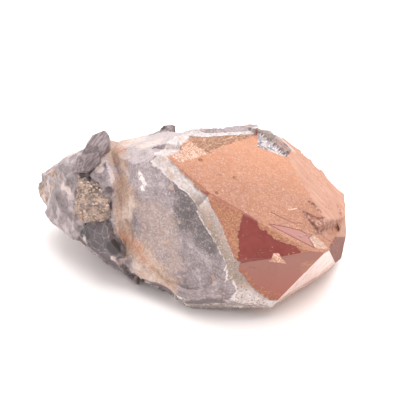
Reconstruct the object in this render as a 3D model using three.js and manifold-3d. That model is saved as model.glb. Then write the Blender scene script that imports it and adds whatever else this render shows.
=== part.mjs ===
// An auralite crystal: a stubby quartz point with a hematite-stained tip, broken off at its root.
// Millimetres, +Z up. The tip points along +X, and the origin is the middle of the footprint.
//
// The stone is one solid. It is the union of convex chunks, and small chips are cut out of it.
// Every chunk and chip is a centre and a list of flat facets. A facet is [name, azimuth, elevation,
// distance]: the direction it faces, in degrees, and how far it lies from the centre.

import * as THREE from 'three';
import { ConvexGeometry } from 'three/addons/geometries/ConvexGeometry.js';
import { mergeVertices } from 'three/addons/utils/BufferGeometryUtils.js';
import Module from 'manifold-3d';

const SAME_POINT = 0.01; // corners nearer than this are one corner
const ON_PLANE = 1e-6; // how far a corner may lie outside a facet's plane by rounding
const SAME_VERTEX = 1e-5; // vertices nearer than this are merged
const LEAST_SPREAD = 1e-4; // three planes that spread less than this meet too far off

const STONE_COLOUR = '#b08a80';
const STONE_ROUGHNESS = 0.55;

const CHUNKS = {
  // The crystal's point: three natural rhomb faces round the tip and the broken shoulders behind them.
  point: {
    centre: [24.2, -6.1, 19.0],
    facets: [
      ['top face', 7, 64, 12.8],
      ['front face', -52, 41, 19.4],
      ['lower front face', -47, -12, 20.9],
      ['bright bevel', -17, -29, 20.5],
      ['bevel edge', -8, -34, 22.2],
      ['bevel edge below', -16, -46, 21.3],
      ['under the tip', -20, -74, 18.7],
      ['back top face', 25, 52, 15.6],
      ['back shoulder', 87, 41, 31.2],
      ['back tip shoulder', 63, 28, 29.5],
      ['blunt end', 11, -2, 22.8],
      ['side of the end', 24, 7, 25.3],
      ['blunt end below', 40, -30, 32.6],
      ['crest', 105, 72, 25.4],
      ['behind the crest', 147, 47, 31.7],
      ['fracture', -101, 8, 23.4],
      ['fracture bend', -84, -8, 24.3],
      ['fracture under the front', -65, -22, 22.4],
      ['front underside', -67, -38, 22.6],
      ['crest corner', -150, 45, 37.0],
      ['back', 100, 10, 34.8],
      ['lower back', 92, -32, 32.1],
      ['back underside', 100, -60, 23.4],
      ['back left', 135, 10, 33.1],
      ['low back left', 140, -40, 31.3],
      ['belly', -108, -48, 28.5],
      ['worn top', 178, 68, 31.2],
      ['valley side', -128, 16, 34.4],
      ['dark ledge', -110, -25, 31.4],
      ['joint with the body', 180, 0, 32.0],
      ['flat spot', 0, -90, 19.0],
    ],
  },
  // The middle of the stone: a smooth shell-like fracture in front and a worn top.
  body: {
    centre: [-1.8, -6.1, 20.0],
    facets: [
      ['fracture', -101, 8, 18.3],
      ['belly', -108, -48, 23.9],
      ['worn top', 178, 68, 20.6],
      ['back top', 94, 48, 18.5],
      ['back top corner', 122, 52, 21.7],
      ['valley side', -128, 16, 18.7],
      ['dark ledge', -110, -25, 23.8],
      ['back', 98, 18, 21.8],
      ['lower back', 98, -30, 22.1],
      ['back underside', 105, -60, 20.8],
      ['level with the top face', 7, 64, 23.2],
      ['joint with the point', 0, 0, 12.0],
      ['flat spot', 0, -90, 20.0],
      ['root underside', -170, -70, 20.1],
      ['neck', -172, 12, 23.0],
      ['back of the neck', 140, 20, 25.5],
    ],
  },
  // The root: blocky broken quartz, raised clear of the ground.
  root: {
    centre: [-27.8, -9.1, 19.0],
    facets: [
      ['top', 165, 55, 13.1],
      ['end top', -170, 45, 13.8],
      ['end', -150, 16, 16.2],
      ['far end', 170, 0, 20.0],
      ['end low', -132, -12, 17.2],
      ['low front end', -115, -33, 16.6],
      ['low front', -109, -38, 16.1],
      ['front', -101, 12, 13.2],
      ['front by the end', -128, 10, 13.2],
      ['front top', -112, 48, 15.3],
      ['underside', -170, -68, 12.3],
      ['underside by the body', 70, -76, 17.1],
      ['back end', 140, 10, 16.5],
      ['back', 100, 20, 19.6],
      ['low back', 115, -42, 16.8],
      ['side over the body', -15, 14, 20.6],
      ['joint top', 30, 42, 14.2],
      ['back top', 100, 50, 15.6],
    ],
  },
  // A steep splinter that stands up over the valley between root and body.
  splinter: {
    centre: [-23.3, -14.3, 35.9],
    facets: [
      ['tip', 165, 50, 3.9],
      ['tip corner', 57, 40, 5.8],
      ['left', -176, 25, 2.0],
      ['left end', -143, -7, 5.8],
      ['front', -87, 11, 5.2],
      ['front by the tip', -84, 47, 6.4],
      ['right', 33, 4, 4.0],
      ['low right', 7, -32, 3.0],
      ['low', -40, -47, 3.4],
      ['back', 108, -26, 8.8],
    ],
  },
  // The lower lobe of the splinter, in front of it.
  'lower splinter': {
    centre: [-24.0, -17.6, 33.4],
    facets: [
      ['top', 159, 67, 2.8],
      ['left', -155, 15, 3.1],
      ['front', -85, -1, 4.9],
      ['front right', -48, 5, 5.7],
      ['right', 25, 2, 4.2],
      ['low right', -8, -35, 3.2],
      ['low', -76, -47, 3.8],
      ['back', 108, -26, 6.9],
    ],
  },
  // A lump of crumbly crust on the front of the root.
  crust: {
    centre: [-18.4, -23.9, 25.3],
    facets: [
      ['left', -149, 4, 4.9],
      ['top left', -141, 35, 5.0],
      ['top', 51, 58, 4.4],
      ['right', 28, 17, 5.2],
      ['low right', -20, -34, 7.3],
      ['low', -83, -46, 5.6],
      ['upper front', -48, 58, 5.3],
      ['lower front', -74, 2, 5.3],
      ['back', 118, -30, 9.0],
    ],
  },
  // A cluster of dark glassy breaks under the crust.
  glassy: {
    centre: [-15.3, -24.3, 14.1],
    facets: [
      ['top left', -167, 38, 6.3],
      ['upper facet', -102, 35, 5.4],
      ['right facet', -22, 35, 7.7],
      ['lower facet', -81, -6, 4.9],
      ['right', 34, 22, 4.9],
      ['low right', 13, -15, 7.7],
      ['low', -51, -56, 6.4],
      ['low left', -117, -42, 4.7],
      ['left', -143, -7, 6.4],
      ['top', 101, 69, 6.8],
      ['back', 118, -30, 9.0],
    ],
  },
  // A thin splinter that lies along the back edge of the worn top.
  'thin splinter': {
    centre: [-9.0, 0.8, 39.2],
    facets: [
      ['top', 178, 55, 0.9],
      ['right', 15, 20, 2.1],
      ['front', -80, 35, 1.6],
      ['back', 97, 30, 3.0],
      ['left', -178, 0, 6.0],
      ['low', 0, -90, 4.0],
    ],
  },
};

const CHIPS = {
  // A chip out of the corner where the top face, the back top face and the crest meet.
  'corner notch': {
    centre: [19.2, 17.9, 36.0],
    facets: [
      ['floor', -135, -50, 3.4],
      ['left wall', -155, 10, 5.7],
      ['right wall', 10, -12, 4.8],
      ['over', 0, 90, 17.0],
      ['behind', 105, -25, 4.0],
      ['front', -55, 0, 5.7],
    ],
  },
  // A gritty trench along the crest, where the stained skin has broken away.
  'crest trench': {
    centre: [8.2, 4.9, 41.0],
    facets: [
      ['floor', -173, -64, 2.1],
      ['inner wall', -8, 22, 2.4],
      ['outer wall', 175, -35, 2.8],
      ['far end', 95, 0, 11.4],
      ['near end', -80, 10, 12.6],
      ['over', 7, 64, 5.9],
    ],
  },
  // A flake off the near corner of the top face.
  'corner flake': {
    centre: [6.2, -13.1, 43.0],
    facets: [
      ['floor', -173, -64, 0.8],
      ['inner wall', -10, 20, 1.8],
      ['near wall', -90, 20, 6.1],
      ['outer wall', 172, 30, 1.8],
      ['far wall', 90, 10, 5.7],
      ['over', 7, 64, 5.9],
    ],
  },
  // The lower step in front of the ledge by the tip.
  'tip step': {
    centre: [42.2, -11.1, 28.0],
    facets: [
      ['floor', -166, -45, 3.1],
      ['floor by the end', -137, -62, 3.4],
      ['wall', 87, -5, 6.9],
      ['end', 0, 0, 17.0],
      ['front', -90, 0, 20.0],
      ['over', 0, 90, 10.0],
    ],
  },
  // The same lower step where it runs on round the end of the ledge.
  'tip end step': {
    centre: [42.2, -11.1, 28.0],
    facets: [
      ['floor', -166, -45, 3.1],
      ['floor by the end', -137, -62, 3.4],
      ['wall', 171, 7, 0.1],
      ['end', 0, 0, 17.0],
      ['front', -90, 0, 20.0],
      ['far end', 28, 0, 10.1],
      ['over', 0, 90, 10.0],
    ],
  },
};

const wasm = await Module();
wasm.setup();

/** The direction a facet faces. */
function direction(azimuth, elevation) {
  const around = THREE.MathUtils.degToRad(azimuth);
  const up = THREE.MathUtils.degToRad(elevation);
  return new THREE.Vector3(
    Math.cos(around) * Math.cos(up),
    Math.sin(around) * Math.cos(up),
    Math.sin(up),
  );
}

/** The point where three planes meet, or null where two of them are nearly parallel. */
function meetingPoint(a, b, c) {
  const turned = new THREE.Vector3().crossVectors(b.normal, c.normal);
  const spread = a.normal.dot(turned);
  if (Math.abs(spread) < LEAST_SPREAD) return null;
  const point = turned.multiplyScalar(-a.constant);
  point.addScaledVector(new THREE.Vector3().crossVectors(c.normal, a.normal), -b.constant);
  point.addScaledVector(new THREE.Vector3().crossVectors(a.normal, b.normal), -c.constant);
  return point.divideScalar(spread);
}

/** The corners of the convex body that a list of facets encloses. */
function corners({ centre, facets }) {
  const middle = new THREE.Vector3(...centre);
  const planes = facets.map(([, azimuth, elevation, distance]) => {
    const normal = direction(azimuth, elevation);
    const onPlane = middle.clone().addScaledVector(normal, distance);
    return new THREE.Plane().setFromNormalAndCoplanarPoint(normal, onPlane);
  });
  const found = [];
  for (let i = 0; i < planes.length; i += 1) {
    for (let j = i + 1; j < planes.length; j += 1) {
      for (let k = j + 1; k < planes.length; k += 1) {
        const point = meetingPoint(planes[i], planes[j], planes[k]);
        const inside = point && planes.every((plane) => plane.distanceToPoint(point) < ON_PLANE);
        if (inside && !found.some((other) => other.distanceTo(point) < SAME_POINT)) found.push(point);
      }
    }
  }
  return found;
}

/** A closed geometry, with its shared vertices merged, as a manifold solid. */
function solid(geometry) {
  geometry.deleteAttribute('normal');
  geometry.deleteAttribute('uv');
  const merged = mergeVertices(geometry, SAME_VERTEX);
  return new wasm.Manifold(
    new wasm.Mesh({
      numProp: 3,
      vertProperties: new Float32Array(merged.attributes.position.array),
      triVerts: new Uint32Array(merged.index.array),
    }),
  );
}

/** A manifold solid back as a three.js geometry. */
function geometryOf(manifold) {
  const { vertProperties, triVerts } = manifold.getMesh();
  const geometry = new THREE.BufferGeometry();
  geometry.setAttribute('position', new THREE.BufferAttribute(vertProperties, 3));
  geometry.setIndex(new THREE.BufferAttribute(triVerts, 1));
  geometry.computeVertexNormals();
  return geometry;
}

const convexSolid = (shape) => solid(new ConvexGeometry(corners(shape)));

let stone = null;
for (const chunk of Object.values(CHUNKS)) {
  const piece = convexSolid(chunk);
  stone = stone ? stone.add(piece) : piece;
}
for (const chip of Object.values(CHIPS)) {
  stone = stone.subtract(convexSolid(chip));
}

const crystal = new THREE.Mesh(
  geometryOf(stone),
  new THREE.MeshStandardMaterial({
    color: STONE_COLOUR,
    roughness: STONE_ROUGHNESS,
    metalness: 0,
    flatShading: true,
  }),
);
crystal.name = 'auralite_crystal';

const group = new THREE.Group();
group.add(crystal);
export default group;
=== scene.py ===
import math

import bpy
import numpy as np
from bpy.props import FloatProperty, FloatVectorProperty, PointerProperty
from mathutils import Matrix, Vector


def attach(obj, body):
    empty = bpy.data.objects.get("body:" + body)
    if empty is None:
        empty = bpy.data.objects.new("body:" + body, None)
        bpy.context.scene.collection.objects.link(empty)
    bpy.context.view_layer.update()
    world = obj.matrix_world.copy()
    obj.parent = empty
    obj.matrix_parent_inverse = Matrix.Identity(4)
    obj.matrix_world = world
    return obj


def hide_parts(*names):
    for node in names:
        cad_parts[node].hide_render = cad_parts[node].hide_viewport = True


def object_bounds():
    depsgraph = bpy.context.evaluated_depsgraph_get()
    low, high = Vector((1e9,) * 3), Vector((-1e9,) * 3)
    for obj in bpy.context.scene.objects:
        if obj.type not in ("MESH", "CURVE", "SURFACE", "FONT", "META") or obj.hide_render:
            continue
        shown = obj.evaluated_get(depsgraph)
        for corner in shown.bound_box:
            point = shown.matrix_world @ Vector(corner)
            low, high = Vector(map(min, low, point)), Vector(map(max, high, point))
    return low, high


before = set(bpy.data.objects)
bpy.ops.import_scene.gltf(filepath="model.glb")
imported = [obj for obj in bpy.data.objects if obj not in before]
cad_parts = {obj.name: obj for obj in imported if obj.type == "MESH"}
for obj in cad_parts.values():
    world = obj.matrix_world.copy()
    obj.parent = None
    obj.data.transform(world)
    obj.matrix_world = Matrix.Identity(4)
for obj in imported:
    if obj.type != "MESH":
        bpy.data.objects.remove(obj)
CAD_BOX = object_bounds()

bl_info = {
    "name": "Auralite crystal",
    "version": (1, 0, 0),
    "blender": (4, 5, 0),
    "location": "View3D > Sidebar > Crystal",
    "description": "A stubby quartz point with an iron-stained tip and a broken root",
    "category": "Add Mesh",
}

NODE = "auralite_crystal"
STONE = "auralite_stone"
MM = 0.001

# The stage. Lengths are metres, and both directions point away from the stone.
FLOOR_RADIUS = 2.5
FLOOR_COLOUR = (0.97, 0.92, 0.905)
SKY_STRENGTH = 1.12
TO_SUN = (0.1, 0.17, 0.98)
CAMERA_DIRECTION = (-62, 30)  # azimuth and elevation in degrees
CAMERA_DISTANCE = 0.3
CAMERA_TARGET = (0.0142, -0.0211, 0.033)

# ---------------------------------------------------------------- the stone's facets
# Lengths here are millimetres. A chunk is a centre, the softness of its edges and its facets.
# A facet is (name, azimuth, elevation, distance from the centre, finish).

CHUNKS = {
    "point": ((24.2, -6.1, 19.0), 0.10, [
        ("top face", 7, 64, 12.8, "skin"),
        ("front face", -52, 41, 19.4, "gloss"),
        ("lower front face", -47, -12, 20.9, "gloss"),
        ("bright bevel", -17, -29, 20.5, "gloss"),
        ("bevel edge", -8, -34, 22.2, "skin"),
        ("bevel edge below", -16, -46, 21.3, "skin"),
        ("under the tip", -20, -74, 18.7, "skin"),
        ("back top face", 25, 52, 15.6, "skin"),
        ("back shoulder", 87, 41, 31.2, "broken"),
        ("back tip shoulder", 63, 28, 29.5, "broken"),
        ("blunt end", 11, -2, 22.8, "skin"),
        ("side of the end", 24, 7, 25.3, "skin"),
        ("blunt end below", 40, -30, 32.6, "skin"),
        ("crest", 105, 72, 25.4, "worn"),
        ("behind the crest", 147, 47, 31.7, "worn"),
        ("fracture", -101, 8, 23.4, "shell"),
        ("fracture bend", -84, -8, 24.3, "shell"),
        ("fracture under the front", -65, -22, 22.4, "shell"),
        ("front underside", -67, -38, 22.6, "shell"),
        ("crest corner", -150, 45, 37.0, "worn"),
        ("back", 100, 10, 34.8, "broken"),
        ("lower back", 92, -32, 32.1, "broken"),
        ("back underside", 100, -60, 23.4, "broken"),
        ("back left", 135, 10, 33.1, "broken"),
        ("low back left", 140, -40, 31.3, "broken"),
        ("belly", -108, -48, 28.5, "broken"),
        ("worn top", 178, 68, 31.2, "worn"),
        ("valley side", -128, 16, 34.4, "worn"),
        ("dark ledge", -110, -25, 31.4, "broken"),
        ("joint with the body", 180, 0, 32.0, "flat"),
        ("flat spot", 0, -90, 19.0, "flat"),
    ]),
    "body": ((-1.8, -6.1, 20.0), 0.8, [
        ("fracture", -101, 8, 18.3, "shell"),
        ("belly", -108, -48, 23.9, "broken"),
        ("worn top", 178, 68, 20.6, "worn"),
        ("back top", 94, 48, 18.5, "worn"),
        ("back top corner", 122, 52, 21.7, "worn"),
        ("valley side", -128, 16, 18.7, "worn"),
        ("dark ledge", -110, -25, 23.8, "broken"),
        ("back", 98, 18, 21.8, "broken"),
        ("lower back", 98, -30, 22.1, "broken"),
        ("back underside", 105, -60, 20.8, "broken"),
        ("level with the top face", 7, 64, 23.2, "worn"),
        ("joint with the point", 0, 0, 12.0, "flat"),
        ("flat spot", 0, -90, 20.0, "flat"),
        ("root underside", -170, -70, 20.1, "broken"),
        ("neck", -172, 12, 23.0, "worn"),
        ("back of the neck", 140, 20, 25.5, "broken"),
    ]),
    "root": ((-27.8, -9.1, 19.0), 0.35, [
        ("top", 165, 55, 13.1, "root"),
        ("end top", -170, 45, 13.8, "root"),
        ("end", -150, 16, 16.2, "root"),
        ("far end", 170, 0, 20.0, "root"),
        ("end low", -132, -12, 17.2, "root"),
        ("low front end", -115, -33, 16.6, "root"),
        ("low front", -109, -38, 16.1, "glass"),
        ("front", -101, 12, 13.2, "root"),
        ("front by the end", -128, 10, 13.2, "root"),
        ("front top", -112, 48, 15.3, "root"),
        ("underside", -170, -68, 12.3, "root"),
        ("underside by the body", 70, -76, 17.1, "glass"),
        ("back end", 140, 10, 16.5, "root"),
        ("back", 100, 20, 19.6, "root"),
        ("low back", 115, -42, 16.8, "root"),
        ("side over the body", -15, 14, 20.6, "worn"),
        ("joint top", 30, 42, 14.2, "worn"),
        ("back top", 100, 50, 15.6, "root"),
    ]),
    "splinter": ((-23.3, -14.3, 35.9), 0.12, [
        ("tip", 165, 50, 3.9, "splinter"),
        ("tip corner", 57, 40, 5.8, "splinter"),
        ("left", -176, 25, 2.0, "splinter"),
        ("left end", -143, -7, 5.8, "splinter"),
        ("front", -87, 11, 5.2, "splinter"),
        ("front by the tip", -84, 47, 6.4, "splinter"),
        ("right", 33, 4, 4.0, "splinter"),
        ("low right", 7, -32, 3.0, "splinter"),
        ("low", -40, -47, 3.4, "splinter"),
        ("back", 108, -26, 8.8, "splinter"),
    ]),
    "lower splinter": ((-24.0, -17.6, 33.4), 0.12, [
        ("top", 159, 67, 2.8, "splinter"),
        ("left", -155, 15, 3.1, "splinter"),
        ("front", -85, -1, 4.9, "splinter"),
        ("front right", -48, 5, 5.7, "splinter"),
        ("right", 25, 2, 4.2, "splinter"),
        ("low right", -8, -35, 3.2, "splinter"),
        ("low", -76, -47, 3.8, "splinter"),
        ("back", 108, -26, 6.9, "splinter"),
    ]),
    "crust": ((-18.4, -23.9, 25.3), 0.3, [
        ("left", -149, 4, 4.9, "crumb"),
        ("top left", -141, 35, 5.0, "crumb"),
        ("top", 51, 58, 4.4, "crumb"),
        ("right", 28, 17, 5.2, "crumb"),
        ("low right", -20, -34, 7.3, "crumb"),
        ("low", -83, -46, 5.6, "crumb"),
        ("upper front", -48, 58, 5.3, "crumb"),
        ("lower front", -74, 2, 5.3, "crumb"),
        ("back", 118, -30, 9.0, "crumb"),
    ]),
    "glassy": ((-15.3, -24.3, 14.1), 0.12, [
        ("top left", -167, 38, 6.3, "glass"),
        ("upper facet", -102, 35, 5.4, "glass"),
        ("right facet", -22, 35, 7.7, "glass"),
        ("lower facet", -81, -6, 4.9, "glass"),
        ("right", 34, 22, 4.9, "glass"),
        ("low right", 13, -15, 7.7, "glass"),
        ("low", -51, -56, 6.4, "glass"),
        ("low left", -117, -42, 4.7, "glass"),
        ("left", -143, -7, 6.4, "glass"),
        ("top", 101, 69, 6.8, "glass"),
        ("back", 118, -30, 9.0, "glass"),
    ]),
    "thin splinter": ((-9.0, 0.8, 39.2), 0.12, [
        ("top", 178, 55, 0.9, "splinter"),
        ("right", 15, 20, 2.1, "splinter"),
        ("front", -80, 35, 1.6, "splinter"),
        ("back", 97, 30, 3.0, "splinter"),
        ("left", -178, 0, 6.0, "splinter"),
        ("low", 0, -90, 4.0, "splinter"),
    ]),
}

# A chip is a centre and the facets of the wedge that is missing: (azimuth, elevation, distance).
CHIPS = {
    "corner notch": ((19.2, 17.9, 36.0), [
        (-135, -50, 3.4), (-155, 10, 5.7), (10, -12, 4.8), (0, 90, 17.0), (105, -25, 4.0), (-55, 0, 5.7)]),
    "crest trench": ((8.2, 4.9, 41.0), [
        (-173, -64, 2.1), (-8, 22, 2.4), (175, -35, 2.8), (95, 0, 11.4), (-80, 10, 12.6), (7, 64, 5.9)]),
    "corner flake": ((6.2, -13.1, 43.0), [
        (-173, -64, 0.8), (-10, 20, 1.8), (-90, 20, 6.1), (172, 30, 1.8), (90, 10, 5.7), (7, 64, 5.9)]),
    "tip step": ((42.2, -11.1, 28.0), [
        (-166, -45, 3.1), (-137, -62, 3.4), (87, -5, 6.9), (0, 0, 17.0), (-90, 0, 20.0), (0, 90, 10.0)]),
    "tip end step": ((42.2, -11.1, 28.0), [
        (-166, -45, 3.1), (-137, -62, 3.4), (171, 7, 0.1), (0, 0, 17.0), (-90, 0, 20.0), (28, 0, 10.1),
        (0, 90, 10.0)]),
}

# How high each finish stands: long waves, fine grit and a general swelling, in millimetres.
FINISHES = {
    "skin": (0.10, 0.03, 0.0),
    "gloss": (0.03, 0.0, 0.0),
    "shell": (0.35, 0.02, 0.2),
    "worn": (0.45, 0.08, 0.2),
    "broken": (0.50, 0.08, 0.5),
    "root": (0.55, 0.14, 0.5),
    "splinter": (0.20, 0.06, 0.1),
    "crumb": (1.50, 0.55, -0.1),
    "glass": (0.08, 0.0, 0.1),
    "flat": (0.0, 0.0, 0.0),
}
FINISH_NAMES = list(FINISHES)
FINISH_SIZES = np.array([FINISHES[name] for name in FINISH_NAMES], np.float32)

# Shell-shaped breaks: the finish they cover, their spacing, width and depth, and a seed.
SCALLOPS = [
    ("root", 4.4, 9.0, 0.7, 21),
    ("root", 2.7, 4.0, 0.4, 22),
    ("glass", 4.2, 9.0, 0.4, 28),
    ("crumb", 2.6, 3.2, 0.7, 29),
    ("broken", 8.0, 13.0, 1.4, 23),
    ("broken", 3.6, 4.5, 0.45, 24),
    ("worn", 6.5, 10.0, 0.55, 25),
    ("shell", 11.0, 22.0, 0.6, 26),
    ("splinter", 3.4, 7.0, 0.25, 27),
]


def directions(azimuths, elevations):
    """Unit vectors for azimuths and elevations in degrees, one a row."""
    around, up = np.radians(azimuths), np.radians(elevations)
    return np.stack([np.cos(around) * np.cos(up), np.sin(around) * np.cos(up), np.sin(up)], -1)


class Convex:
    """A convex body bounded by planes, with its signed distance."""

    def __init__(self, centre, facets, finishes=None):
        table = np.array([f[:3] for f in facets], float)
        self.normals = directions(table[:, 0], table[:, 1]).astype(np.float32)
        self.offsets = (self.normals @ np.array(centre, float) + table[:, 2]).astype(np.float32)
        self.finishes = finishes

    def planes(self, points):
        """How far each point is outside each of the planes."""
        return points @ self.normals.T - self.offsets


def chunk_bodies():
    """The chunks as convex bodies, with their edges' softness and their facets' names."""
    bodies = {}
    for name, (centre, softness, facets) in CHUNKS.items():
        body = Convex(centre, [f[1:4] for f in facets], [FINISH_NAMES.index(f[4]) for f in facets])
        body.softness = softness
        body.names = [f[0] for f in facets]
        bodies[name] = body
    return bodies


BODIES = chunk_bodies()
CHIP_BODIES = {name: Convex(centre, facets) for name, (centre, facets) in CHIPS.items()}

# ---------------------------------------------------------------- noise on points


def hashed(cells, seed):
    """A repeatable 32-bit number for each whole-number cell.

    The multipliers are large odd numbers, so that neighbouring cells get very different ones.
    """
    x, y, z = (cells[..., i].astype(np.uint32) for i in range(3))
    mixed = x * np.uint32(73856093) ^ y * np.uint32(19349663) ^ z * np.uint32(83492791)
    mixed = (mixed ^ np.uint32(seed * 2654435 + 97)) * np.uint32(1274126177)
    mixed ^= mixed >> np.uint32(15)
    mixed *= np.uint32(2246822519)
    return mixed ^ (mixed >> np.uint32(13))


def hashed_vector(numbers):
    """Three repeatable values between -1 and 1 from each hashed number."""
    parts = [(numbers >> np.uint32(shift)) & np.uint32(1023) for shift in (0, 10, 20)]
    return np.stack(parts, -1).astype(np.float32) / 511.5 - 1.0


def noise(points, size, seed):
    """Smooth noise between about -1 and 1 whose bumps are about size across."""
    scaled = (points / size).astype(np.float32)
    low = np.floor(scaled)
    part = scaled - low
    fade = part * part * part * (part * (part * 6 - 15) + 10)
    cells = low.astype(np.int32)
    total = np.zeros(len(points), np.float32)
    for corner in np.ndindex(2, 2, 2):
        corner = np.array(corner, np.int32)
        slope = hashed_vector(hashed(cells + corner, seed))
        weight = np.where(corner, fade, 1 - fade).prod(-1)
        total += weight * (slope * (part - corner)).sum(-1)
    return total * 1.4


def smooth_step(value, low, high):
    """A smooth rise from 0 to 1 as the value goes from low to high."""
    part = np.clip((value - low) / (high - low), 0, 1)
    return part * part * (3 - 2 * part)


def to_segments(points, path):
    """Distance from each point to a path of straight stretches."""
    best = np.full(len(points), np.inf, np.float32)
    for start, end in zip(path[:-1], path[1:]):
        start, along = np.array(start, float), np.array(end, float) - np.array(start, float)
        share = np.clip(((points - start) @ along) / (along @ along), 0, 1)
        best = np.minimum(best, np.linalg.norm(points - start - share[:, None] * along, axis=1))
    return best


# ---------------------------------------------------------------- the stone as a distance field

# A crack is the path that it follows on the surface, and its radius.
CRACKS = {
    "cleft": ([(-23.5, -21.3, 32.4), (-21.3, -22.3, 31.4), (-19.6, -22.8, 30.6), (-17.2, -24.2, 30.2),
               (-15.2, -24.7, 29.3), (-13.4, -24.6, 28.0), (-11.9, -24.8, 26.2), (-11.0, -24.9, 24.0),
               (-10.3, -25.3, 20.3)], 0.75),
    "tip groove": ([(36.6, 1.8, 27.0), (39.0, 2.2, 25.8), (41.1, 0.9, 24.7)], 0.45),
    "end groove": ([(41.2, 13.7, 20.3), (43.0, 10.7, 19.9), (44.8, 6.5, 20.0), (45.1, 5.0, 18.3)], 0.6),
}
# A pit is the centre of a ball, and its radius.
PITS = [((10.2, -13.0, 40.4), 0.7), ((9.5, -7.5, 40.3), 0.6), ((19.3, -10.3, 35.9), 0.55),
        ((16.4, -13.1, 37.5), 0.5), ((19.3, -21.0, 36.5), 0.5)]
# The small flat crystal that lies in the front face, below the tip.
SMALL_CRYSTAL_BODY = Convex((38.2, -23.4, 22.8), [
    (-145, 31, 0.9), (27, 32, 1.0), (-23, 83, 0.8), (-74, -54, 0.7), (-48, 5, 0.6), (132, -5, 1.6)])

FINISH_BLEND = 0.7  # how far from an edge two finishes run into each other
REACH_SHARE = 0.62  # how far from its seat a scallop may dig, as a share of its width
STRUCK = (12.0, -25.0, 43.0)  # where the body was struck, and its ribs spread from
RIB_LENGTH = 2.1  # the ribs lie tau times this apart
RIB_HEIGHT = 0.07
TIP_START = 33.0  # the grooves on the top face lie past this x
BATCH = 150000  # points worked out at a time


def chunk_distance(points):
    """Signed distance to the union of the chunks, with the heights of the finish at each point."""
    nearest = None
    for body in BODIES.values():
        planes = body.planes(points)
        top = planes.max(1)
        rise = np.exp((planes - top[:, None]) / body.softness)
        distance = top + body.softness * np.log(rise.sum(1))
        shares = np.exp((planes - top[:, None]) / FINISH_BLEND)
        shares /= shares.sum(1, keepdims=True)
        sizes = shares @ FINISH_SIZES[body.finishes]
        if nearest is None:
            nearest, finish = distance, sizes
        else:
            finish = np.where((distance < nearest)[:, None], sizes, finish)
            nearest = np.minimum(nearest, distance)
    return nearest, finish


def finish_names_at(points):
    """The finish of the facet nearest to each point, as a place in FINISH_NAMES."""
    nearest = np.full(len(points), np.inf)
    found = np.zeros(len(points), int)
    for body in BODIES.values():
        planes = body.planes(points)
        top = planes.max(1)
        closer = top < nearest
        found = np.where(closer, np.array(body.finishes)[planes.argmax(1)], found)
        nearest = np.minimum(nearest, top)
    return found


def deepest_bite(seats, centres, radii, reach):
    """How deep under the chunks each ball would dig within reach of its seat."""
    samples = 90
    luck = hashed_vector(hashed(np.stack([np.arange(samples, dtype=np.int32)] * 3, 1), 77))
    deepest = np.zeros(len(seats))
    for offset in luck:
        spot = (seats + 0.95 * reach * offset / max(1.0, np.linalg.norm(offset))).astype(np.float32)
        dug = np.linalg.norm(spot - centres, axis=1) < radii
        deepest = np.maximum(deepest, np.where(dug, -rough_distance(spot), 0))
    return deepest


def scallop_hollows():
    """The balls that the broken faces are hollowed with: (seat, centre, radius, reach) arrays."""
    low, high = np.array(CAD_BOX[0]) / MM, np.array(CAD_BOX[1]) / MM
    seats, centres, radii, reaches = [], [], [], []
    for finish, spacing, width, depth, seed in SCALLOPS:
        counts = ((high - low) / spacing).astype(int) + 1
        cells = np.argwhere(np.ones(counts, bool)).astype(np.int32)
        jitter = hashed_vector(hashed(cells, seed))
        seat = (low + spacing * (cells + 0.5 + 0.45 * jitter)).astype(np.float32)
        distance = chunk_distance(seat)[0]
        near = np.abs(distance) < 0.5 * spacing
        near &= finish_names_at(seat) == FINISH_NAMES.index(finish)
        seat, distance, cells = seat[near], distance[near], cells[near]
        outward = slopes(seat, 0.3, lambda points: chunk_distance(points)[0])
        luck = hashed_vector(hashed(cells, seed + 50))
        outward = outward + 0.25 * luck
        outward /= np.linalg.norm(outward, axis=1, keepdims=True)
        deep = depth * (1 + 0.45 * luck[:, 0])
        radius = width ** 2 / (8 * depth) * (1 + 0.25 * luck[:, 1])
        surface = seat - distance[:, None] * outward
        centre = surface + (radius - deep)[:, None] * outward
        reach = REACH_SHARE * width
        shallow = deepest_bite(surface, centre, radius, reach) < 1.6 * depth
        seats.append(surface[shallow])
        centres.append(centre[shallow])
        radii.append(radius[shallow])
        reaches.append(np.full(shallow.sum(), reach))
    return [np.concatenate(part) for part in (seats, centres, radii, reaches)]


def scalloped(points, distance, raggedness):
    """The distance after the scallops are hollowed out, and the scallop that shaped each point."""
    shaped = np.zeros(len(points), np.int32)
    order = np.argsort(points[:, 0])
    sorted_x = points[order, 0]
    for number, (seat, centre, radius, reach) in enumerate(zip(*HOLLOWS), 1):
        first, last = np.searchsorted(sorted_x, [seat[0] - reach, seat[0] + reach])
        rows = order[first:last]
        rows = rows[(np.abs(points[rows, 1:] - seat[1:]) < reach).all(1)]
        hollow = radius - np.linalg.norm(points[rows] - centre, axis=1) + raggedness[rows]
        limit = reach - np.linalg.norm(points[rows] - seat, axis=1)
        hollow = np.minimum(hollow, limit)
        shaped[rows] = np.where(hollow > distance[rows], number, shaped[rows])
        distance[rows] = np.maximum(distance[rows], hollow)
    return distance, shaped


def rough_distance(points):
    """The chunks with the chips taken out, before any fine relief."""
    distance, _ = chunk_distance(points)
    for chip in CHIP_BODIES.values():
        distance = np.maximum(distance, -chip.planes(points).max(1))
    return np.maximum(distance, -points[:, 2])


def rim_position(points):
    """How far inside the natural faces a point is from the broken faces, in millimetres."""
    body = BODIES["point"]
    planes = body.planes(points)
    natural = [i for i, f in enumerate(body.finishes) if FINISH_NAMES[f] in ("skin", "gloss")]
    broken = [i for i, f in enumerate(body.finishes) if FINISH_NAMES[f] in ("shell", "worn", "broken")]
    return planes[:, natural].max(1) - planes[:, broken].max(1)


def ragged_noise(points):
    """A noise that makes the edges of scallops, chips, cracks and pits uneven."""
    return noise(points, 1.6, 11)


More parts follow.
